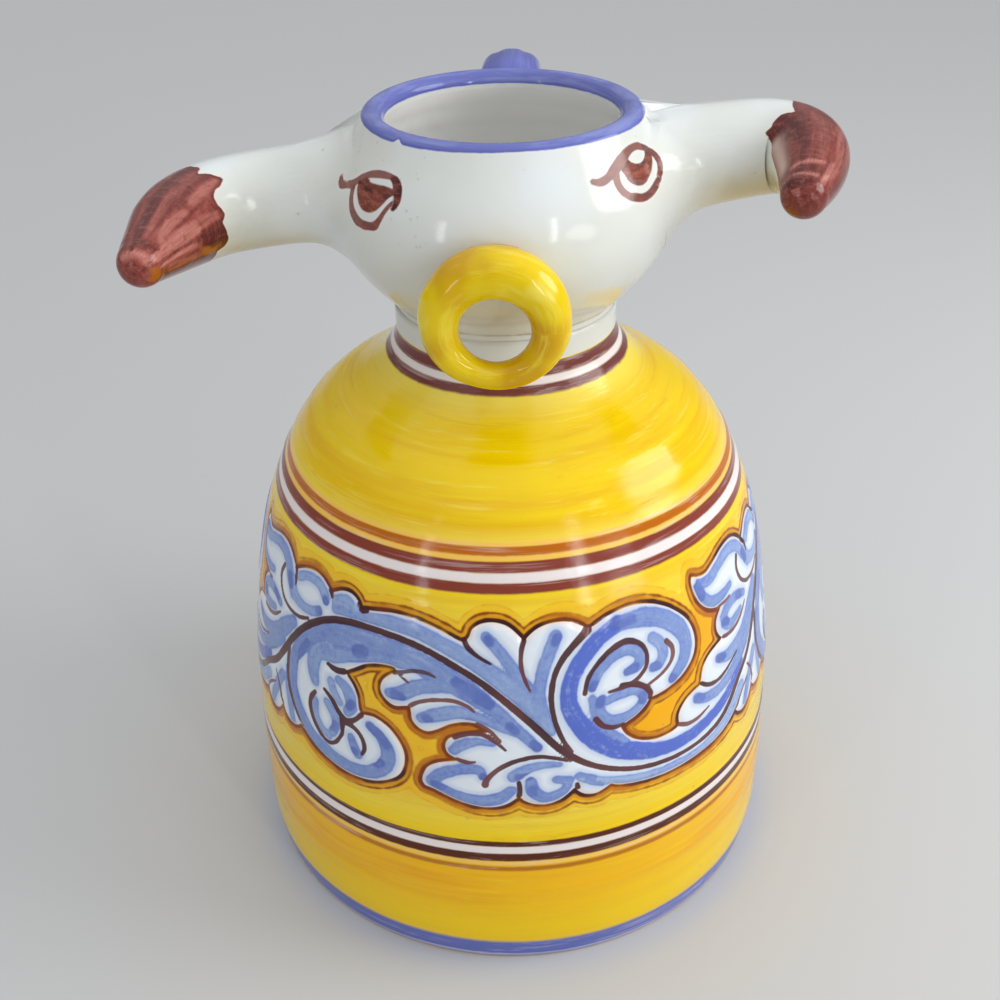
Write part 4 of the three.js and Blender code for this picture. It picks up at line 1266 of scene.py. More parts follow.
def body_colour(nodes, place):
    """Brushed yellow, the scroll in its amber wash, and the painted rings."""
    x, y, z = nodes.split(place)
    drift = nodes.noise(place, 18.0, 1.0)
    height = z * 1000.0 + (drift - 0.5) * 0.9
    wheel = nodes.point(x * 7.0 + drift, y * 7.0 + drift, nodes.stored("up_the_wall") * 0.16)
    broad = nodes.bristles(wheel, 1.0, 0.9)
    fine = nodes.bristles(wheel, 4.5)
    patches = nodes.noise(place, 14.0, 2.0)
    slow = nodes.noise(place, 42.0, 1.0)
    broken = nodes.noise(place, 130.0, 2.0)
    ground = nodes.layered(
        YELLOW,
        (broad.between(0.35, 0.85, 0.0, 0.8), DEEP_YELLOW),
        (fine.between(0.62, 0.95, 0.0, 0.45), THIN_YELLOW),
        (fine.between(0.3, 0.05, 0.0, 0.16), ORANGE),
        (patches.between(0.6, 0.8, 0.0, 0.25), THIN_YELLOW),
        (abs(height - 79.0).between(36.0, 27.0, 0.0, 0.34), THIN_YELLOW),
        (height.between(121.5, 125.5, 0.5, 0.0) * height.between(120, 121), THIN_YELLOW),
        (height.between(139.0, 145.0, 0.0, 0.75), THIN_YELLOW),
    )
    foot = nodes.layered(
        paint(238, 182, 0),
        (broad.between(0.3, 0.8), paint(230, 160, 0)),
        (fine.between(0.6, 0.95, 0.0, 0.4), paint(242, 206, 20)),
        (height.between(28.0, 14.0, 0.0, 0.8), YELLOW),
    )

    # Round the scroll: the amber wash with the line where it dried, a second line apart, a
    # translucent one that runs out over the amber, and the dark contour
    leaf = nodes.stored("scroll_edge")
    tide = leaf - 5.6 + slow * 3.0
    pocket = nodes.stored("pocket_edge").drawn(2.5, 0.6) * nodes.stored("pocket_depth")
    second = abs(leaf - patches.between(0.35, 0.65, 2.0, 2.9)) - 0.3
    over = abs(leaf - 1.2) - 0.85
    contour = abs(leaf - 0.5) - broken.between(0.35, 0.65, 0.4, 0.66)
    colour = nodes.layered(
        ground,
        (height.between(37.0, 35.0), foot),
        (tide.drawn(0.8, 0.5) * 0.4, AMBER),
        ((abs(tide) - 0.1).drawn(0.5, 0.3) * 0.28, ORANGE),
        (leaf.between(0.9, 3.2, 1.0, 0.0), AMBER),
        (pocket, AMBER),
        (second.drawn(0.6, 0.3) * slow.between(0.35, 0.6, 0.5, 1.0), paint(124, 58, 8)),
        (over.drawn(1.0, 0.35) * slow.between(0.38, 0.6, 0.85, 0.35), paint(178, 96, 16)),
        (
            contour.drawn(0.55, 0.15) * broken.between(0.3, 0.6, 0.82, 1.0),
            nodes.mix(slow.between(0.4, 0.58), paint(118, 52, 10), paint(60, 22, 14)),
        ),
    )

    # The leaves: white with watery blue strokes, each darker at its edge and where the brush rested
    wash = nodes.stored("wash_edge") - 0.25
    depth = nodes.stored("wash_depth")
    dab = (nodes.stored("dab_edge") - 0.2).drawn(0.9, 0.35) * broken.between(0.3, 0.6, 0.5, 0.8)
    stroke_place = nodes.point(nodes.stored("wash_across"), nodes.stored("wash_along") * 0.14)
    marks = nodes.bristles(stroke_place, 0.8, 0.8)
    tone = marks * 0.3 + broken * 0.35 + nodes.noise(place, 900.0, 2.0) * 0.35
    blue = nodes.layered(
        paint(152, 174, 210),
        (depth.between(0.15, 0.5), paint(122, 144, 196)),
        (depth.between(0.5, 0.75), DEEP_BLUE),
        (tone.between(0.5, 0.68, 0.0, 0.36), WATERY_BLUE),
        (tone.between(0.5, 0.36, 0.0, 0.45), DEEP_BLUE),
        (abs(wash + 0.35).between(0.45, 0.05, 0.0, 0.3), DEEP_BLUE),
        (dab, paint(80, 98, 174)),
    )
    leaves = nodes.layered(
        COOL_WHITE,
        (leaf.between(-1.3, -0.3), PINK_WHITE),
        (wash.between(1.8, 0.1, 0.0, 0.6), WATERY_BLUE),
        (wash.drawn(0.6, 0.25) * (leaf + 0.35).drawn(0.3, 0.1), blue),
    )

    # Brown lines inside the leaves, drawn from the signed distance to their middle, or from the
    # plain one where the side of two lines that meet is unsure
    line, strength = nodes.stored("vein_edge"), nodes.stored("vein_depth")
    signed = abs(nodes.stored("vein_across")) - nodes.stored("vein_half")
    off_line = nodes.shared(nodes.stored("vein_unsure").between(0.0, 0.5), signed, line)
    vein = (off_line - 0.06).drawn(0.3, 0.12) * line.between(0.45, 0.2)
    brown = nodes.layered(
        paint(142, 94, 92),
        (strength.between(0.5, 1.0), paint(90, 40, 38)),
        (slow.between(0.46, 0.62, 0.0, 0.8), paint(56, 14, 16)),
    )
    colour = nodes.layered(
        colour, (leaf.drawn(0.25, 0.06), leaves), (vein * strength.between(0.3, 0.8, 0.8, 0.97), brown)
    )

    # The rings. Where their paint is thin, the white under it shows.
    thin = fine.between(0.5, 0.95, 0.0, 0.28)
    for low, high, softness, pigment in PAINTED_RINGS:
        off_ring = abs(height - (low + high) / 2) - (high - low) / 2
        colour = nodes.mix(off_ring.drawn(softness, 0.12), colour, nodes.mix(thin, pigment, PINK_WHITE))
    bare = nodes.stored("bare")
    colour = nodes.layered(
        colour,
        (height.between(151.9, 152.4), WHITE),
        # painted light: the inside in a lightened white
        (nodes.stored("inside"), LIGHTENED_INSIDE_WHITE),
        (bare, nodes.mix(broken, paint(206, 176, 150), paint(178, 140, 112))),
    )
    return colour, nodes.shared(bare, 0.1, 0.8), fine * 0.12


def painted_eyes(nodes, colour):
    up, line = nodes.stored("eye_up"), nodes.stored("eye_line_edge")
    marks = nodes.bristles(nodes.point(nodes.stored("eye_across") * 0.35, up), 0.9, 1.2)
    iris = nodes.layered(
        paint(116, 58, 44),
        (marks.between(0.25, 0.8), paint(150, 84, 70)),
        (up.between(0.8, 3.0, 0.0, 0.5), paint(88, 32, 20)),
    )
    brown = nodes.layered(
        paint(160, 116, 106),
        (nodes.stored("eye_line_depth"), paint(78, 30, 26)),
        (marks.between(0.35, 0.8, 0.0, 0.5), paint(160, 92, 82)),
    )
    return nodes.layered(
        colour,
        (line.between(1.0, 0.1, 0.0, 0.35), PINK_WHITE),
        (nodes.stored("iris_edge").drawn(0.5, 0.15), iris),
        (line.drawn(0.4, 0.12), brown),
    )


def head_colour(nodes, place):
    """White glaze with specks, a stain and a crease, the eyes and the blue lip."""
    height = nodes.split(place)[2] * 1000.0
    clouds = nodes.noise(place, 30.0, 2.0)
    specks = nodes.cells(place, 420.0).between(0.12, 0.2, 1.0, 0.0)
    specks = specks * nodes.noise(place, 48.0, 2.0).between(0.55, 0.68)
    crease = (abs(height - 159.6) - 0.25).drawn(0.6, 0.3) * clouds.between(0.4, 0.65, 0.1, 0.7)
    colour = nodes.layered(
        HEAD_WHITE,
        (clouds.between(0.35, 0.65), WHITE),
        (height.between(176.0, 160.0, 0.0, 0.35), paint(206, 204, 190)),
        (specks * 0.3, paint(170, 150, 140)),
        (nodes.stored("stain_edge").drawn(2.5, 1.2) * 0.4, paint(222, 204, 158)),
        (crease, paint(160, 126, 92)),
        # painted light: the inside of the bowl in a lightened white
        (nodes.stored("inside"), LIGHTENED_INSIDE_WHITE),
    )
    lip = nodes.stored("lip_edge")
    wheel = nodes.add("ShaderNodeMapping", {"Vector": place, "Scale": (40.0, 40.0, 500.0)})
    marks = nodes.bristles(wheel, 1.0)
    blue = nodes.layered(
        paint(100, 107, 176),
        (marks.between(0.3, 0.8), paint(126, 134, 194)),
        (lip.between(-1.1, -0.1, 0.0, 0.7), paint(84, 90, 168)),
    )
    return nodes.mix(lip.drawn(0.4, 0.12), painted_eyes(nodes, colour), blue), GLAZE_ROUGHNESS, 0.0


def along_the_rope(nodes, stretch):
    """Place on a pulled piece, drawn out along it as its brush marks are."""
    return nodes.point(nodes.stored("around_sin"), nodes.stored("around_cos"), nodes.stored("run") * stretch)


def horn_colour(nodes, place):
    """White glaze, yellow-grey below where it is stained and painted in shade, with the brown tip in its
    brush touches, one of them partly a painted highlight.
    """
    clouds = nodes.noise(place, 30.0, 2.0)
    grain = nodes.noise(place, 700.0, 2.0)
    brush = along_the_rope(nodes, 0.07)
    marks = nodes.bristles(brush, 1.2, 1.1)
    hairs = nodes.bristles(brush, 3.0, 0.8)
    around = (nodes.stored("around_sin") * 0.25, nodes.stored("around_cos") * 0.25)
    cross = nodes.bristles(nodes.point(*around, nodes.stored("run")), 1.4)
    tip, tone = nodes.stored("tip_edge"), nodes.stored("touch_tone")
    touched = nodes.stored("touch_edge").between(0.9, -0.6)
    # Light touches, one of them partly a painted highlight
    light = touched * tone.between(0.0, 1.4, 0.0, 0.8) * hairs.between(0.2, 0.7, 0.5, 1.0)
    brown = nodes.layered(
        paint(112, 46, 38),
        (marks.between(0.2, 0.85), paint(146, 70, 60)),
        (nodes.stored("deep_paint") * 0.4, paint(84, 26, 20)),
        (light, paint(212, 142, 128)),
        (touched * tone.between(0.0, -1.0, 0.0, 0.85), paint(76, 20, 14)),
        (hairs.between(0.55, 0.95, 0.0, 0.3), paint(182, 106, 94)),
        (grain.between(0.55, 0.75, 0.0, 0.3), paint(176, 104, 92)),
        (grain.between(0.45, 0.3, 0.0, 0.3), paint(86, 28, 22)),
        (cross.between(0.55, 0.9, 0.0, 0.2), paint(188, 114, 102)),
        (nodes.stored("amber_edge").drawn(1.4, 0.6) * 0.65, paint(176, 102, 14)),
        (tip.between(-1.4, -0.2, 0.0, 0.7), paint(96, 32, 24)),
        (nodes.stored("thin_paint") * 0.75, paint(204, 180, 166)),
    )
    colour = nodes.layered(
        HEAD_WHITE,
        (clouds.between(0.35, 0.65), WHITE),
        # Painted shade with a real stain in it: the glaze turns yellow-grey where the horn faces down
        (nodes.stored("underside") * clouds.between(0.3, 0.6, 0.6, 0.95), paint(196, 184, 146)),
        (tip.between(1.1, 0.1, 0.0, 0.4), paint(232, 216, 202)),
        (tip.drawn(0.4, 0.45), brown),
    )
    return painted_eyes(nodes, colour), GLAZE_ROUGHNESS, marks * 0.1


def ring_colour(nodes, place):
    cloud = nodes.noise(place, 60.0, 2.0)
    marks = nodes.bristles(along_the_rope(nodes, 0.07), 1.0, 1.1)
    colour = nodes.layered(
        paint(226, 194, 6),
        (cloud.between(0.4, 0.65), paint(206, 158, 0)),
        (marks.between(0.5, 0.9, 0.0, 0.5), paint(234, 214, 70)),
        (cloud.between(0.36, 0.24, 0.0, 0.6), paint(236, 220, 96)),
    )
    return colour, GLAZE_ROUGHNESS, 0.0


def handle_colour(nodes, place):
    marks = nodes.bristles(along_the_rope(nodes, 0.03), 1.2, 0.9)
    colour = nodes.layered(
        paint(88, 95, 168),
        (marks.between(0.3, 0.8), paint(104, 111, 186)),
        (nodes.noise(place, 60.0, 2.0).between(0.5, 0.75, 0.0, 0.4), paint(82, 86, 166)),
    )
    return colour, GLAZE_ROUGHNESS, 0.0


# Body


def scroll_fields(angle, height):
    """Distances of the painted scroll at points on the body, worked out on one repeat."""
    scale = math.radians(1) * CHART_RADIUS
    period = SCROLL_REPEAT * scale
    x = ((angle + SCROLL_REPEAT / 2) % SCROLL_REPEAT - SCROLL_REPEAT / 2) * scale
    shifts = (-period, 0, period)
    upper, under_upper = repeated(outline_on_chart(UPPER_LEAVES, scale, SCROLL_REPEAT), x, height, shifts)
    lower, under_lower = repeated(outline_on_chart(LOWER_LEAVES, scale, SCROLL_REPEAT), x, height, shifts)
    away = np.minimum(upper, lower)
    fields = {"scroll_edge": np.where(under_upper & ~under_lower, -away, away)}
    dabs = [(1.0, points) for points in DABS]
    for name, strokes in (("vein", VEINS), ("wash", WASHES), ("dab", dabs), ("pocket", POCKETS)):
        found = stroke_distance(charted(strokes, scale), x, height, shifts)
        fields |= zip([f"{name}_{kind}" for kind in ("edge", "depth", "across", "along")], found)
    fields["vein_half"] = np.abs(fields["vein_across"]) - fields["vein_edge"]
    return fields


SCROLL_FIELDS = (
    "scroll_edge", "vein_edge", "vein_depth", "vein_across", "vein_half", "wash_edge", "wash_depth",
    "wash_across", "wash_along", "dab_edge", "pocket_edge", "pocket_depth",
)


def scroll_relief(fields):
    """How far the modelled scroll stands out: full leaves between incised contours and veins."""
    leaf, vein = fields["scroll_edge"], fields["vein_edge"]
    raised = LEAF_RELIEF * soft_step(-leaf, -0.1, 1.6)
    groove = -CONTOUR_DEPTH * hump(leaf, 0.45, 0.5)
    vein_groove = -VEIN_DEPTH * hump(np.maximum(vein, 0), 0, 0.35) * fields["vein_depth"]
    second = -SECOND_CONTOUR_DEPTH * hump(leaf, 2.15, 0.45)
    wash = WASH_RELIEF * soft_step(-fields["wash_edge"], 0.0, 0.8)
    return raised + groove + second + np.where(leaf < 0, vein_groove + wash, 0)


def body_rows():
    """Rows of the body's mesh, fine where the scroll is painted."""
    outside = body_outside()
    height = outside[:, 1]
    low, high = outside[height <= SCROLL_LOW], outside[height >= SCROLL_HIGH]
    middle = outside[(height > SCROLL_LOW) & (height < SCROLL_HIGH)]
    edge_low, edge_high = ([radius_at(outside, level), level] for level in (SCROLL_LOW, SCROLL_HIGH))
    coarse = SCROLL_COLUMNS // 3
    rows = [(0, 0.7, 1), (20, 0.7, coarse // 4), (45, 0.7, coarse // 2)]
    foot = [(62.2, 0.7), (62.8, 0.5), (63.4, 0.15), (64.2, 0), (67, 0)]
    foot += [(FOOT_RADIUS - 0.8, 0), (FOOT_RADIUS - 0.3, 0.2), (FOOT_RADIUS - 0.05, 0.5)]
    rows += [(r, z, coarse) for r, z in foot]
    rows += [(r, z, coarse) for r, z in respaced(joined(low, edge_low), FOOT_ROW)[:-1]]
    rows += [(r, z, SCROLL_COLUMNS) for r, z in respaced(joined(edge_low, middle, edge_high), SCROLL_ROW)]
    rows += [(r, z, coarse) for r, z in respaced(joined(edge_high, high), SHOULDER_ROW)[1:]]

    inner = moved_out(respaced(outside, 1.0), -BODY_WALL)
    corner_centre = (BELLY_RADIUS - BODY_WALL - FLOOR_CORNER, FLOOR_THICKNESS + FLOOR_CORNER)
    inner = inner[(inner[:, 1] > corner_centre[1]) & (inner[:, 1] < BODY_HEIGHT - 0.5)]
    inner = joined(inner, (NECK_RADIUS - BODY_WALL, BODY_HEIGHT))[::-1]
    corner = arc(corner_centre, FLOOR_CORNER, 0, -math.pi / 2, 8)
    rows += [(*inner[0], coarse)]
    rows += [(r, z, coarse // 2) for r, z in respaced(joined(inner, corner), CAVITY_ROW)[1:]]
    floor = ((30, coarse // 4), (12, coarse // 8), (0, 1))
    return rows + [(r, FLOOR_THICKNESS, columns) for r, columns in floor]


def body_unevenness(points):
    """Rings that the thrower's fingers left, clear of the scroll, the foot and the neck."""
    height, turn = points[:, 2], turn_of(points)
    throwing = sum(ridge * np.sin(height * up + turn * round_it) for ridge, up, round_it in THROWING_RIDGES)
    plain = soft_step(height, 10, 16) * soft_step(-height, -146, -140)
    plain *= 1 - scroll_zone(height)
    return (throwing - 0.2) * plain


def scroll_zone(height):
    """1 on the painted scroll's band, 0 off it."""
    above = soft_step(height, SCROLL_LOW, SCROLL_LOW + 2)
    return above * soft_step(-height, -SCROLL_HIGH, -SCROLL_HIGH + 2)


def false_turns(mesh, points, across):
    """1 where the side of a line changes between neighbours that the line doesn't part, 0
    elsewhere."""
    ends = np.empty(2 * len(mesh.edges), np.int32)
    mesh.edges.foreach_get("vertices", ends)
    first, second = ends.reshape(-1, 2).T
    apart = np.linalg.norm(points[first] - points[second], axis=1)
    reach = np.abs(across[first]) + np.abs(across[second])
    wrong = (across[first] * across[second] < 0) & (reach > 1.06 * apart)
    flags = np.zeros(len(points))
    flags[first[wrong]] = 1
    flags[second[wrong]] = 1
    return flags


def make_body(rows, material):
    mesh = thrown("painted_body", rows)
    outside = body_outside()
    points = coordinates(mesh)
    radius, angle, height = radius_of(points), np.degrees(turn_of(points)), points[:, 2].copy()
    on_outside = (radius > radius_at(outside, height) - 1.5) | (height < 1)
    scroll = on_outside & (height > SCROLL_LOW - 0.1) & (height < SCROLL_HIGH + 0.1)

    # The scroll's distances are worked out on one repeat, and the others take theirs from it
    one_repeat = scroll & (angle > -SCROLL_REPEAT / 2 - 0.1) & (angle < SCROLL_REPEAT / 2 - 0.1)
    found = scroll_fields(angle[one_repeat], height[one_repeat])
    place = ((angle + SCROLL_REPEAT / 2) % SCROLL_REPEAT) * SCROLL_COLUMNS / 360
    column = np.round(place).astype(int) % (SCROLL_COLUMNS // 3)
    level = np.round(height * 1000).astype(int)
    order = {pair: i for i, pair in enumerate(zip(column[one_repeat], level[one_repeat]))}
    source = np.array([order[pair] for pair in zip(column[scroll], level[scroll])])
    fields = {}
    for name in SCROLL_FIELDS:
        fields[name] = np.full(len(points), OUTLINE_REACH if name.endswith("edge") else 0.0)
        fields[name][scroll] = found[name][source]
    store(mesh, **fields, vein_unsure=false_turns(mesh, points, fields["vein_across"]))

    relief = np.where(on_outside & (height > 8), body_unevenness(points), 0)
    drawn = scroll_relief({name: values[scroll] for name, values in fields.items()})
    relief[scroll] += drawn * scroll_zone(height[scroll])
    inner_wall = ~on_outside & (height > FLOOR_THICKNESS + 1)
    ridge, up = CAVITY_RIDGES
    relief += np.where(inner_wall, ridge * np.sin(height * up + np.radians(angle)), 0)
    away = points[:, :2] / np.maximum(radius, 1e-6)[:, None]
    points[:, :2] += away * relief[:, None]
    set_coordinates(mesh, points)
    up_the_wall = np.interp(height, outside[:, 1], length_along(outside))
    store(mesh, up_the_wall=up_the_wall, inside=~on_outside, bare=(height < 0.75) & on_outside)
    piece("painted_body", mesh, ["body"], material)


# Head


def head_rows(columns):
    """Rows of the head's mesh, and how many of them are its outside and its lip."""
    outside = head_outside()
    throat = NECK_RADIUS - BODY_WALL
    spaced = respaced(outside, HEAD_ROW)
    inner = moved_out(spaced, -HEAD_WALL)
    inner = inner[(inner[:, 0] > throat) & (inner[:, 1] > BODY_HEIGHT + HEAD_WALL)]
    middle = (outside[-1] + inner[-1]) / 2
    start = math.atan2(outside[-1][1] - middle[1], outside[-1][0] - middle[0])
    lip = arc(middle, HEAD_WALL / 2, start, start + math.pi, 18)[1:-1]
    throat_top, throat_foot = (throat, BODY_HEIGHT + THROAT_TOP), (throat, BODY_HEIGHT)
    down = respaced(joined(inner[::-1], throat_top, throat_foot), THROAT_ROW)
    return [(r, z, columns) for r, z in joined(spaced, lip, down)], len(spaced), len(lip)


def store_eyes(mesh, points, faces_out):
    """Keeps both eyes' distances on a mesh of the head or of a horn."""
    angle = np.degrees(turn_of(points))
    away = {"iris_edge": OUTLINE_REACH, "eye_line_edge": STROKE_REACH}
    names = ("iris_edge", "eye_line_edge", "eye_line_depth", "eye_across", "eye_up")
    fields = {name: np.full(len(points), away.get(name, 0.0)) for name in names}
    for eye in (RIGHT_EYE, LEFT_EYE):
        side = faces_out & (np.abs(angle - eye["at"][0]) < 38) & (points[:, 2] > 172)
        for name, found in zip(names, eye_fields(eye, points[side])):
            fields[name][side] = found
    store(mesh, **fields)


def eye_fields(eye, points):
    """Distances to one eye's iris and lines, in a flat chart that touches the head at its centre."""
    outside = head_outside()
    angle, height = math.radians(eye["at"][0]), eye["at"][1]
    slope = (radius_at(outside, height + 1) - radius_at(outside, height - 1)) / 2
    out = np.array([math.sin(angle), -math.cos(angle), 0])
    across = np.array([math.cos(angle), math.sin(angle), 0])
    upward = UP + out * slope
    upward /= np.linalg.norm(upward)
    centre = radius_at(outside, height) * out + height * UP
    x, y = (points - centre) @ across, (points - centre) @ upward
    line, depth, _, _ = stroke_distance(eye["lines"], x, y)
    outline = smooth_through([*eye["iris"], eye["iris"][0]])[:, :2]
    return signed_distance(outline, x, y), line, depth, x, y


def head_unevenness(points):
    """Hand-worked skin of the head, with the groove where it sits on the neck."""
    top = soft_step(points[:, 2], 203, 205)
    angle = np.degrees(turn_of(points))
    groove = (0.12 + 0.22 * hump(angle, 40, 25)) * hump(points[:, 2], 159.7, 0.6)
    return (ripples(points, 20.0, 0.3, 3) - 0.12) * (1 - 0.6 * top) - groove


# Yellowish stains on the white glaze: (degrees, height, half width)
STAINS = [
    (1.0, [(34, 170.5, 1.8), (45, 168.5, 2.2), (56, 167.5, 1.2)]),
    (1.0, [(-48, 167.5, 1.2), (-42, 168, 1.4)]),
]


def make_head(rows, outer_count, lip_count, material):
    columns = rows[0][2]
    mesh = thrown("white_head", rows + rows[:1])
    join_loop(mesh, columns)
    points = coordinates(mesh)
    row = np.arange(len(points)) // columns
    on_outside = row < outer_count
    angle = np.degrees(turn_of(points))

    # The blue of the lip, with a nick in its lower edge
    run = length_along(np.array([r[:2] for r in rows]))
    blue_start = run[outer_count - 1] + 0.15
    blue_end = run[outer_count + lip_count - 1] - 0.9
    here = run[np.minimum(row, len(rows) - 1)]
    nick = 1.1 * hump(angle, -41, 1.6) + 0.5 * np.sin(np.radians(angle * 3 + 40)) * 0.6
    lip_edge = np.maximum(blue_start - here + nick, here - blue_end)

    scale = math.radians(1) * HEAD_CHART_RADIUS
    stain = stroke_distance(charted(STAINS, scale), angle * scale, points[:, 2])[0]
    stain_edge = np.where(on_outside, stain, OUTLINE_REACH)
    store(mesh, lip_edge=lip_edge, inside=row > outer_count + lip_count - 2, stain_edge=stain_edge)
    store_eyes(mesh, points, on_outside)

    inner_wall = ~on_outside & (row > outer_count + lip_count)
    outer_shape = head_unevenness(points) * (row < outer_count + 8)
    ridge, up = BOWL_RIDGES
    shape = np.where(inner_wall, ridge * np.sin(points[:, 2] * up), outer_shape)
    points[:, :2] += points[:, :2] / radius_of(points)[:, None] * shape[:, None]
    set_coordinates(mesh, points)
    piece("white_head", mesh, ["head"], material)


def join_loop(mesh, columns):
    """Welds the last row of a thrown form to its first, so that the section is a closed loop."""
    work = bmesh.new()
    work.from_mesh(mesh)
    work.verts.ensure_lookup_table()
    count = len(work.verts)
    pairs = {work.verts[count - columns + k]: work.verts[k] for k in range(columns)}
    bmesh.ops.weld_verts(work, targetmap=pairs)
    work.to_mesh(mesh)
    work.free()


# Horns, ring and handle


def taper(stations, radii, share):
    """Smooth radius along a pulled piece."""
    path = smooth_through(list(zip(stations, radii)), steps=16)
    return np.interp(share, path[:, 0], path[:, 1])


def make_horn(name, node, horn, tip, tree, material, head):
    """tip holds the edge of the brown tip, its brush touches and its amber stains."""
    side = horn["side"]
    whole = bezier(*horn["path"], count=241)
    total = length_along(whole)[-1]
    start = root_place(head, whole, 20, HORN_ROOT)
    where = np.concatenate([[start, start + 0.2], np.linspace(start + 0.6, total - 0.05, 180)])
    where = np.concatenate([where, total - np.geomspace(0.05, 0.001, 4)[1:]])
    path = at_length(whole, where)
    share = where / total
    dome = 1 - HORN_TIP / total
    radius = taper(HORN_STATIONS, horn["radii"], np.minimum(share, dome)) - HORN_CLEARANCE
    radius *= np.sqrt(np.clip(1 - (np.maximum(share - dome, 0) / (1 - dome)) ** 2, 0, 1))
    radius[[0, -1]] = 0
    mesh = pulled(name, tree, path, radius, radius, HORN_GRID, UP, material)
    points = coordinates(mesh)
    run, around = stored(mesh, "run"), stored(mesh, "around")
    centres, tangents = path_frames(path, run)
    outward = points - centres
    root = np.argmin(run)
    lean = lean_round_root(head, centres[root], tangents[root], radius[2], radius[2], UP, around)
    lean *= 1 - soft_step(run, 0, 16)
    shake = np.minimum(ripples(points, 15.0, 0.45, 5 + side), HORN_CLEARANCE) * soft_step(run, 0, 10)
    length = np.maximum(np.linalg.norm(outward, axis=1, keepdims=True), 1e-6)
    points = points + outward / length * (shake - HORN_CLEARANCE)[:, None] * (length > 1)
    upness = np.clip(outward[:, 2] / length[:, 0], 0, 1)
    joint = HORN_JOINT + (horn["top_joint"] - HORN_JOINT) * soft_step(upness, 0.2, 0.9)
    points = luted(points, centres, tangents, lean, head, joint)
    set_coordinates(mesh, points)
    store_eyes(mesh, points, run < 30)

    # Degrees round the horn, from its top towards the viewer
    first, second = section_frame(tangents, UP)
    rounded = np.degrees(np.arctan2((outward * second * side).sum(1), (outward * first).sum(1)))
    store_tip(mesh, tip, rounded, run + start, total)
    spread = 4 * np.minimum(length[:, 0] / 6, 1)
    around_sin, around_cos = np.sin(np.radians(rounded)) * spread, np.cos(np.radians(rounded)) * spread
    store(mesh, run=run + start, around_sin=around_sin, around_cos=around_cos)
    store_shades(mesh, side, rounded, run + start, outward[:, 2] / length[:, 0])
    piece(name, mesh, [node], material)


def store_tip(mesh, tip, rounded, from_root, total):
    """Keeps the distances to a horn's brown tip and to the touches and stains on it."""
    edge, touches, amber = tip
    scale = math.radians(1) * HORN_CHART_RADIUS
    x, shifts = rounded * scale, (-360 * scale, 0, 360 * scale)
    away, under = repeated(outline_on_chart(edge, scale, 360), x, from_root, shifts)
    # The side turned away from the viewer has long strokes, one beside another
    away_side = [
        ((-0.7, 0.4)[turn // 22 % 2], [(turn, total - 24, 1.2), (turn, total - 6, 0.9)])
        for turn in range(-176, -60, 22)
    ]
    touch, tone, _, _ = stroke_distance(charted(touches + away_side, scale), x, from_root, shifts)
    stains = charted([(1.0, points) for points in amber], scale)
    amber_edge = stroke_distance(stains, x, from_root, shifts)[0]
    tip_edge = np.where(under, away, -away)
    store(mesh, tip_edge=tip_edge, touch_edge=touch, touch_tone=tone, amber_edge=amber_edge)


def store_shades(mesh, side, rounded, from_root, upness):
    """Keeps where a horn's glaze is stained and painted in shade below, and where its brown is deeper or
    thinner.
    """
    # underside: where the horn faces down, painted shade with a yellow-grey stain in it, stronger on the
    # bull's left horn
    if side > 0:
        underside = soft_step(-upness, -0.15, 0.7)
        thin = hump(rounded, 62, 16) * soft_step(from_root, 43, 47) * soft_step(-from_root, -61, -56)
    else:
        underside = 0.6 * soft_step(-upness, 0.4, 0.9)
        thin = np.zeros(len(rounded))
    deep = np.full(len(rounded), 1.0 if side > 0 else 0.0)
    store(mesh, underside=underside * soft_step(from_root, 8, 24), deep_paint=deep, thin_paint=thin)


def make_ring(tree, material, head):
    angles = np.linspace(0, 2 * math.pi, 97)[:-1] + math.pi / 2
    centre = np.array(RING_CENTRE, float)
    path = centre + RING_RADIUS * np.stack([np.cos(angles), np.zeros(96), np.sin(angles)], -1)
    tube = RING_TUBE * (1 + RING_THICKENING * np.sin(angles))
    mesh = pulled("yellow_ring", tree, path, tube, tube, RING_GRID, Y_AXIS, material, closed=True)
    points = coordinates(mesh)
    turn = np.arctan2(points[:, 2] - centre[2], points[:, 0])
    level = np.zeros(len(turn))
    centres = centre + RING_RADIUS * np.stack([np.cos(turn), level, np.sin(turn)], -1)
    tangents = np.stack([-np.sin(turn), level, np.cos(turn)], -1)
    outward = points - centres
    length = np.linalg.norm(outward, axis=1, keepdims=True)
    shake = np.minimum(ripples(points, 9.0, 0.4, 9), 0.0)
    points = moved_outward(points, outward, length, shake)
    points = luted(points, centres, tangents, level, head, np.full(len(points), RING_JOINT))
    set_coordinates(mesh, points)
    section = np.arctan2(outward[:, 1], outward[:, 0] * np.cos(turn) + outward[:, 2] * np.sin(turn))
    run = RING_RADIUS * (turn % (2 * math.pi))
    store(mesh, run=run, around_sin=np.sin(section) * 2, around_cos=np.cos(section) * 2)
    piece("yellow_ring", mesh, ["nose_ring"], material)


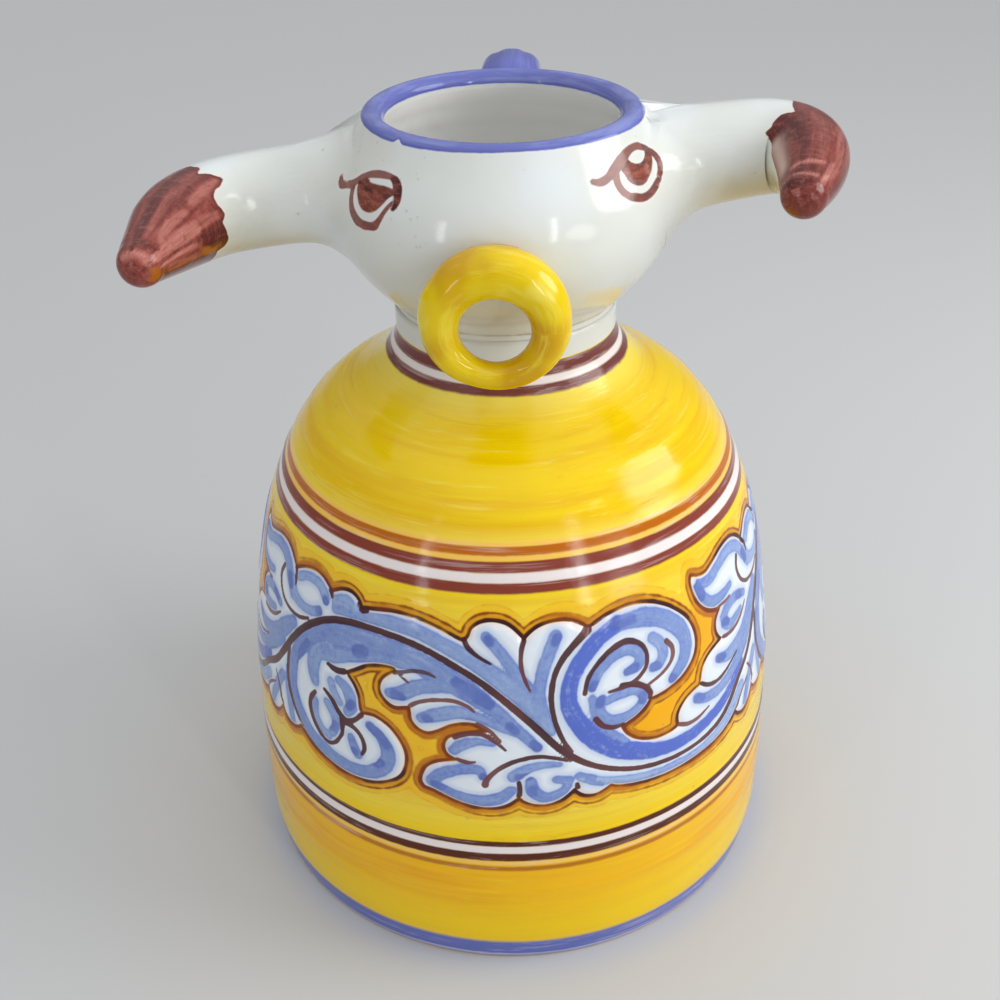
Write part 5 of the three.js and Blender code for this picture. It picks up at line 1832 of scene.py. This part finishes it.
def handle_path():
    """The handle's middle line: up from the head, over its crown and down to the shoulder."""
    crown_y = (HANDLE_START + HANDLE_REACH) / 2
    crown_z = HANDLE_TOP + HANDLE_ARCH
    level = (HANDLE_REACH - HANDLE_START) * 0.24
    drop = (crown_z - HANDLE_BEND) * 0.6
    fall = (HANDLE_BEND - HANDLE_FOOT) * 0.4
    start = (HANDLE_START, HANDLE_TOP - HANDLE_ARCH)
    rise = [start, (HANDLE_START + level, HANDLE_TOP), (crown_y - level, crown_z)]
    crown, bend = (crown_y, crown_z), (HANDLE_REACH, HANDLE_BEND)
    over = [crown, (crown_y + level, crown_z), (HANDLE_REACH, HANDLE_BEND + drop)]
    down = [bend, (HANDLE_REACH, HANDLE_BEND - fall), (HANDLE_LAND + fall * 0.9, HANDLE_FOOT + fall * 0.5)]
    land = (HANDLE_LAND, HANDLE_FOOT - fall * 0.1)
    flat = joined(bezier(*rise, crown, 80), bezier(*over, bend, 80), bezier(*down, land, 80))
    return np.insert(flat, 0, 0, axis=1)


def make_handle(tree, material, head, body):
    whole = handle_path()
    total = length_along(whole)[-1]
    start = root_place(head, whole, 20, HANDLE_ROOT)
    end = total - root_place(body, whole[::-1], 25, HANDLE_ROOT)
    where = np.concatenate([[start, start + 0.2], np.linspace(start + 0.6, end - 0.6, 200), [end - 0.2, end]])
    path = at_length(whole, where)
    share = where / total
    spread = np.maximum(0, 1 - np.minimum(share, 1 - share) / HANDLE_END_SHARE) ** 2
    half_width = (HANDLE_WIDTH + (HANDLE_END_WIDTH - HANDLE_WIDTH) * spread) / 2
    half_thickness = (HANDLE_THICKNESS + (HANDLE_END_THICKNESS - HANDLE_THICKNESS) * spread) / 2
    half_width[[0, -1]] = 0
    half_thickness[[0, -1]] = 0
    mesh = pulled("blue_handle", tree, path, half_width, half_thickness, HANDLE_GRID, X_AXIS, material)
    points = coordinates(mesh)
    run, around = stored(mesh, "run"), stored(mesh, "around")
    centres, tangents = path_frames(path, run)
    outward = points - centres
    length = np.maximum(np.linalg.norm(outward, axis=1, keepdims=True), 1e-6)
    total_run = end - start

    # Two shallow grooves that the potter's fingers drew down the outside of the handle
    groove = 0.35 * (hump(np.cos(around), 0.5, 0.16) + hump(np.cos(around), -0.5, 0.16))
    clear = soft_step(run, 8, 20) * soft_step(-run, -total_run + 8, -total_run + 20)
    shake = np.minimum(ripples(points, 14.0, 0.3, 13), 0) - groove
    points = moved_outward(points, outward, length, shake * clear)

    upper = run < total_run / 2
    under_lip = soft_step(np.clip(outward[:, 2] / length[:, 0], 0, 1), 0.2, 0.9)
    head_joint = HANDLE_JOINT - (HANDLE_JOINT - HANDLE_LIP_JOINT) * under_lip
    body_joint = np.full(len(points), HANDLE_JOINT)
    ends = (
        (head, upper, 1, np.argmin(run), 2, run, head_joint),
        (body, ~upper, -1, np.argmax(run), -3, total_run - run, body_joint),
    )
    for host, half, way, root, station, from_root, joint in ends:
        sizes = half_width[station], half_thickness[station]
        lean = way * lean_round_root(host, centres[root], way * tangents[root], *sizes, X_AXIS, around)
        lean = lean * (1 - soft_step(from_root, 0, 12))
        points[half] = luted(points[half], centres[half], tangents[half], lean[half], host, joint[half])
    set_coordinates(mesh, points)
    store(mesh, run=run, around_sin=np.sin(around) * 3, around_cos=np.cos(around) * 3)
    piece("blue_handle", mesh, ["handle"], material)


def closed_section(rows):
    return np.array([row[:2] for row in [*rows, rows[0]]])


body_section = body_rows()
head_section, head_outer_count, lip_count = head_rows(HEAD_COLUMNS)
thrown_body = Thrown(body_outside(), closed_section(body_section), 100, 160, body_unevenness)
thrown_head = Thrown(head_outside(), closed_section(head_section), 158, 214, head_unevenness)
clay_tree = pulled_clay_nodes()
horn_glaze = glaze_material("horn_glaze", horn_colour)
right_tip = (RIGHT_TIP_EDGE, RIGHT_TIP_TOUCHES, RIGHT_TIP_AMBER)
left_tip = (LEFT_TIP_EDGE, LEFT_TIP_TOUCHES, [])

make_body(body_section, glaze_material("body_glaze", body_colour))
make_head(head_section, head_outer_count, lip_count, glaze_material("head_glaze", head_colour))
make_horn("right_horn", "horn_right", RIGHT_HORN, right_tip, clay_tree, horn_glaze, thrown_head)
make_horn("left_horn", "horn_left", LEFT_HORN, left_tip, clay_tree, horn_glaze, thrown_head)
make_ring(clay_tree, glaze_material("ring_glaze", ring_colour), thrown_head)
make_handle(clay_tree, glaze_material("handle_glaze", handle_colour), thrown_head, thrown_body)

# Floor, light and camera

FLOOR_REACH = 6.0
FLOOR_COLOUR = (0.52, 0.52, 0.515, 1)
SKY_COLOUR = (0.95, 0.97, 1.0, 1)

# Each lamp stands where a highlight of the photograph looks: degrees from -Y towards +X, degrees
# up, distance, width and height in metres, power in watts and shape. All look at LIT_PLACE.
LAMPS = [
    ("window", 86, 27, 0.75, 0.48, 0.38, 2.9, "ELLIPSE"),
    ("door_glint", 34, 13, 1.0, 0.07, 0.42, 1.3, "RECTANGLE"),
    ("far_glint", -35, 10, 1.0, 0.05, 0.36, 0.6, "RECTANGLE"),
    ("table_glint", 52, 4, 1.0, 0.34, 0.26, 1.0, "ELLIPSE"),
]
LIT_PLACE = np.array([0, 0, 0.13])


def make_floor():
    mesh = bpy.data.meshes.new("floor")
    corners = [(x * FLOOR_REACH, y * FLOOR_REACH, 0) for x, y in ((-1, -1), (1, -1), (1, 1), (-1, 1))]
    mesh.from_pydata(corners, [], [(0, 1, 2, 3)])
    material = bpy.data.materials.new("pale_floor")
    material.use_nodes = True
    surface = material.node_tree.nodes["Principled BSDF"]
    surface.inputs["Base Color"].default_value = FLOOR_COLOUR
    surface.inputs["Roughness"].default_value = 0.6
    surface.inputs["Specular IOR Level"].default_value = 0.2
    mesh.materials.append(material)
    floor = bpy.data.objects.new("floor", mesh)
    bpy.context.scene.collection.objects.link(floor)


def add_lamp(name, turn, rise, away, width, height, power, shape):
    turn, rise = math.radians(turn), math.radians(rise)
    direction = np.array([math.cos(rise) * math.sin(turn), -math.cos(rise) * math.cos(turn), math.sin(rise)])
    lamp = bpy.data.lights.new(name, "AREA")
    lamp.shape = shape
    lamp.size, lamp.size_y = width, height
    lamp.energy = power
    made = bpy.data.objects.new(name, lamp)
    made.location = LIT_PLACE + away * direction
    looking = Vector(LIT_PLACE) - Vector(LIT_PLACE + away * direction)
    made.rotation_euler = looking.to_track_quat("-Z", "Y").to_euler()
    bpy.context.scene.collection.objects.link(made)


def add_sky():
    """Light from all round, stronger from above."""
    world = bpy.data.worlds.new("room")
    world.use_nodes = True
    nodes = Nodes(world.node_tree)
    upward = nodes.split(nodes.add("ShaderNodeTexCoord", output="Generated"))[2]
    background = world.node_tree.nodes["Background"]
    background.inputs["Color"].default_value = SKY_COLOUR
    nodes.feed(background.inputs["Strength"], upward.between(0.1, 0.95, 0.3, 1.15))
    bpy.context.scene.world = world


def add_camera():
    """The photograph's viewpoint: 32 degrees down, a little to the bull's left."""
    place = Vector((0.0161, -0.3079, 0.2920))
    heading, pitch, roll = (math.radians(angle) for angle in (-3.445, 32.17, -1.26))
    level = math.cos(pitch)
    forward = Vector((math.sin(heading) * level, math.cos(heading) * level, -math.sin(pitch)))
    aside = Vector((math.cos(heading), -math.sin(heading), 0))
    upward = aside.cross(forward)
    right = aside * math.cos(roll) + upward * math.sin(roll)
    upward = upward * math.cos(roll) - aside * math.sin(roll)
    data = bpy.data.cameras.new("camera")
    data.sensor_width = 36
    data.lens = 48.53
    data.clip_start = 0.01
    camera = bpy.data.objects.new("camera", data)
    turn = Matrix((right, upward, -forward)).transposed()
    camera.matrix_world = Matrix.Translation(place) @ turn.to_4x4()
    bpy.context.scene.collection.objects.link(camera)
    bpy.context.scene.camera = camera


make_floor()
for lamp in LAMPS:
    add_lamp(*lamp)
add_sky()
add_camera()
bpy.context.scene.view_settings.view_transform = "Standard"
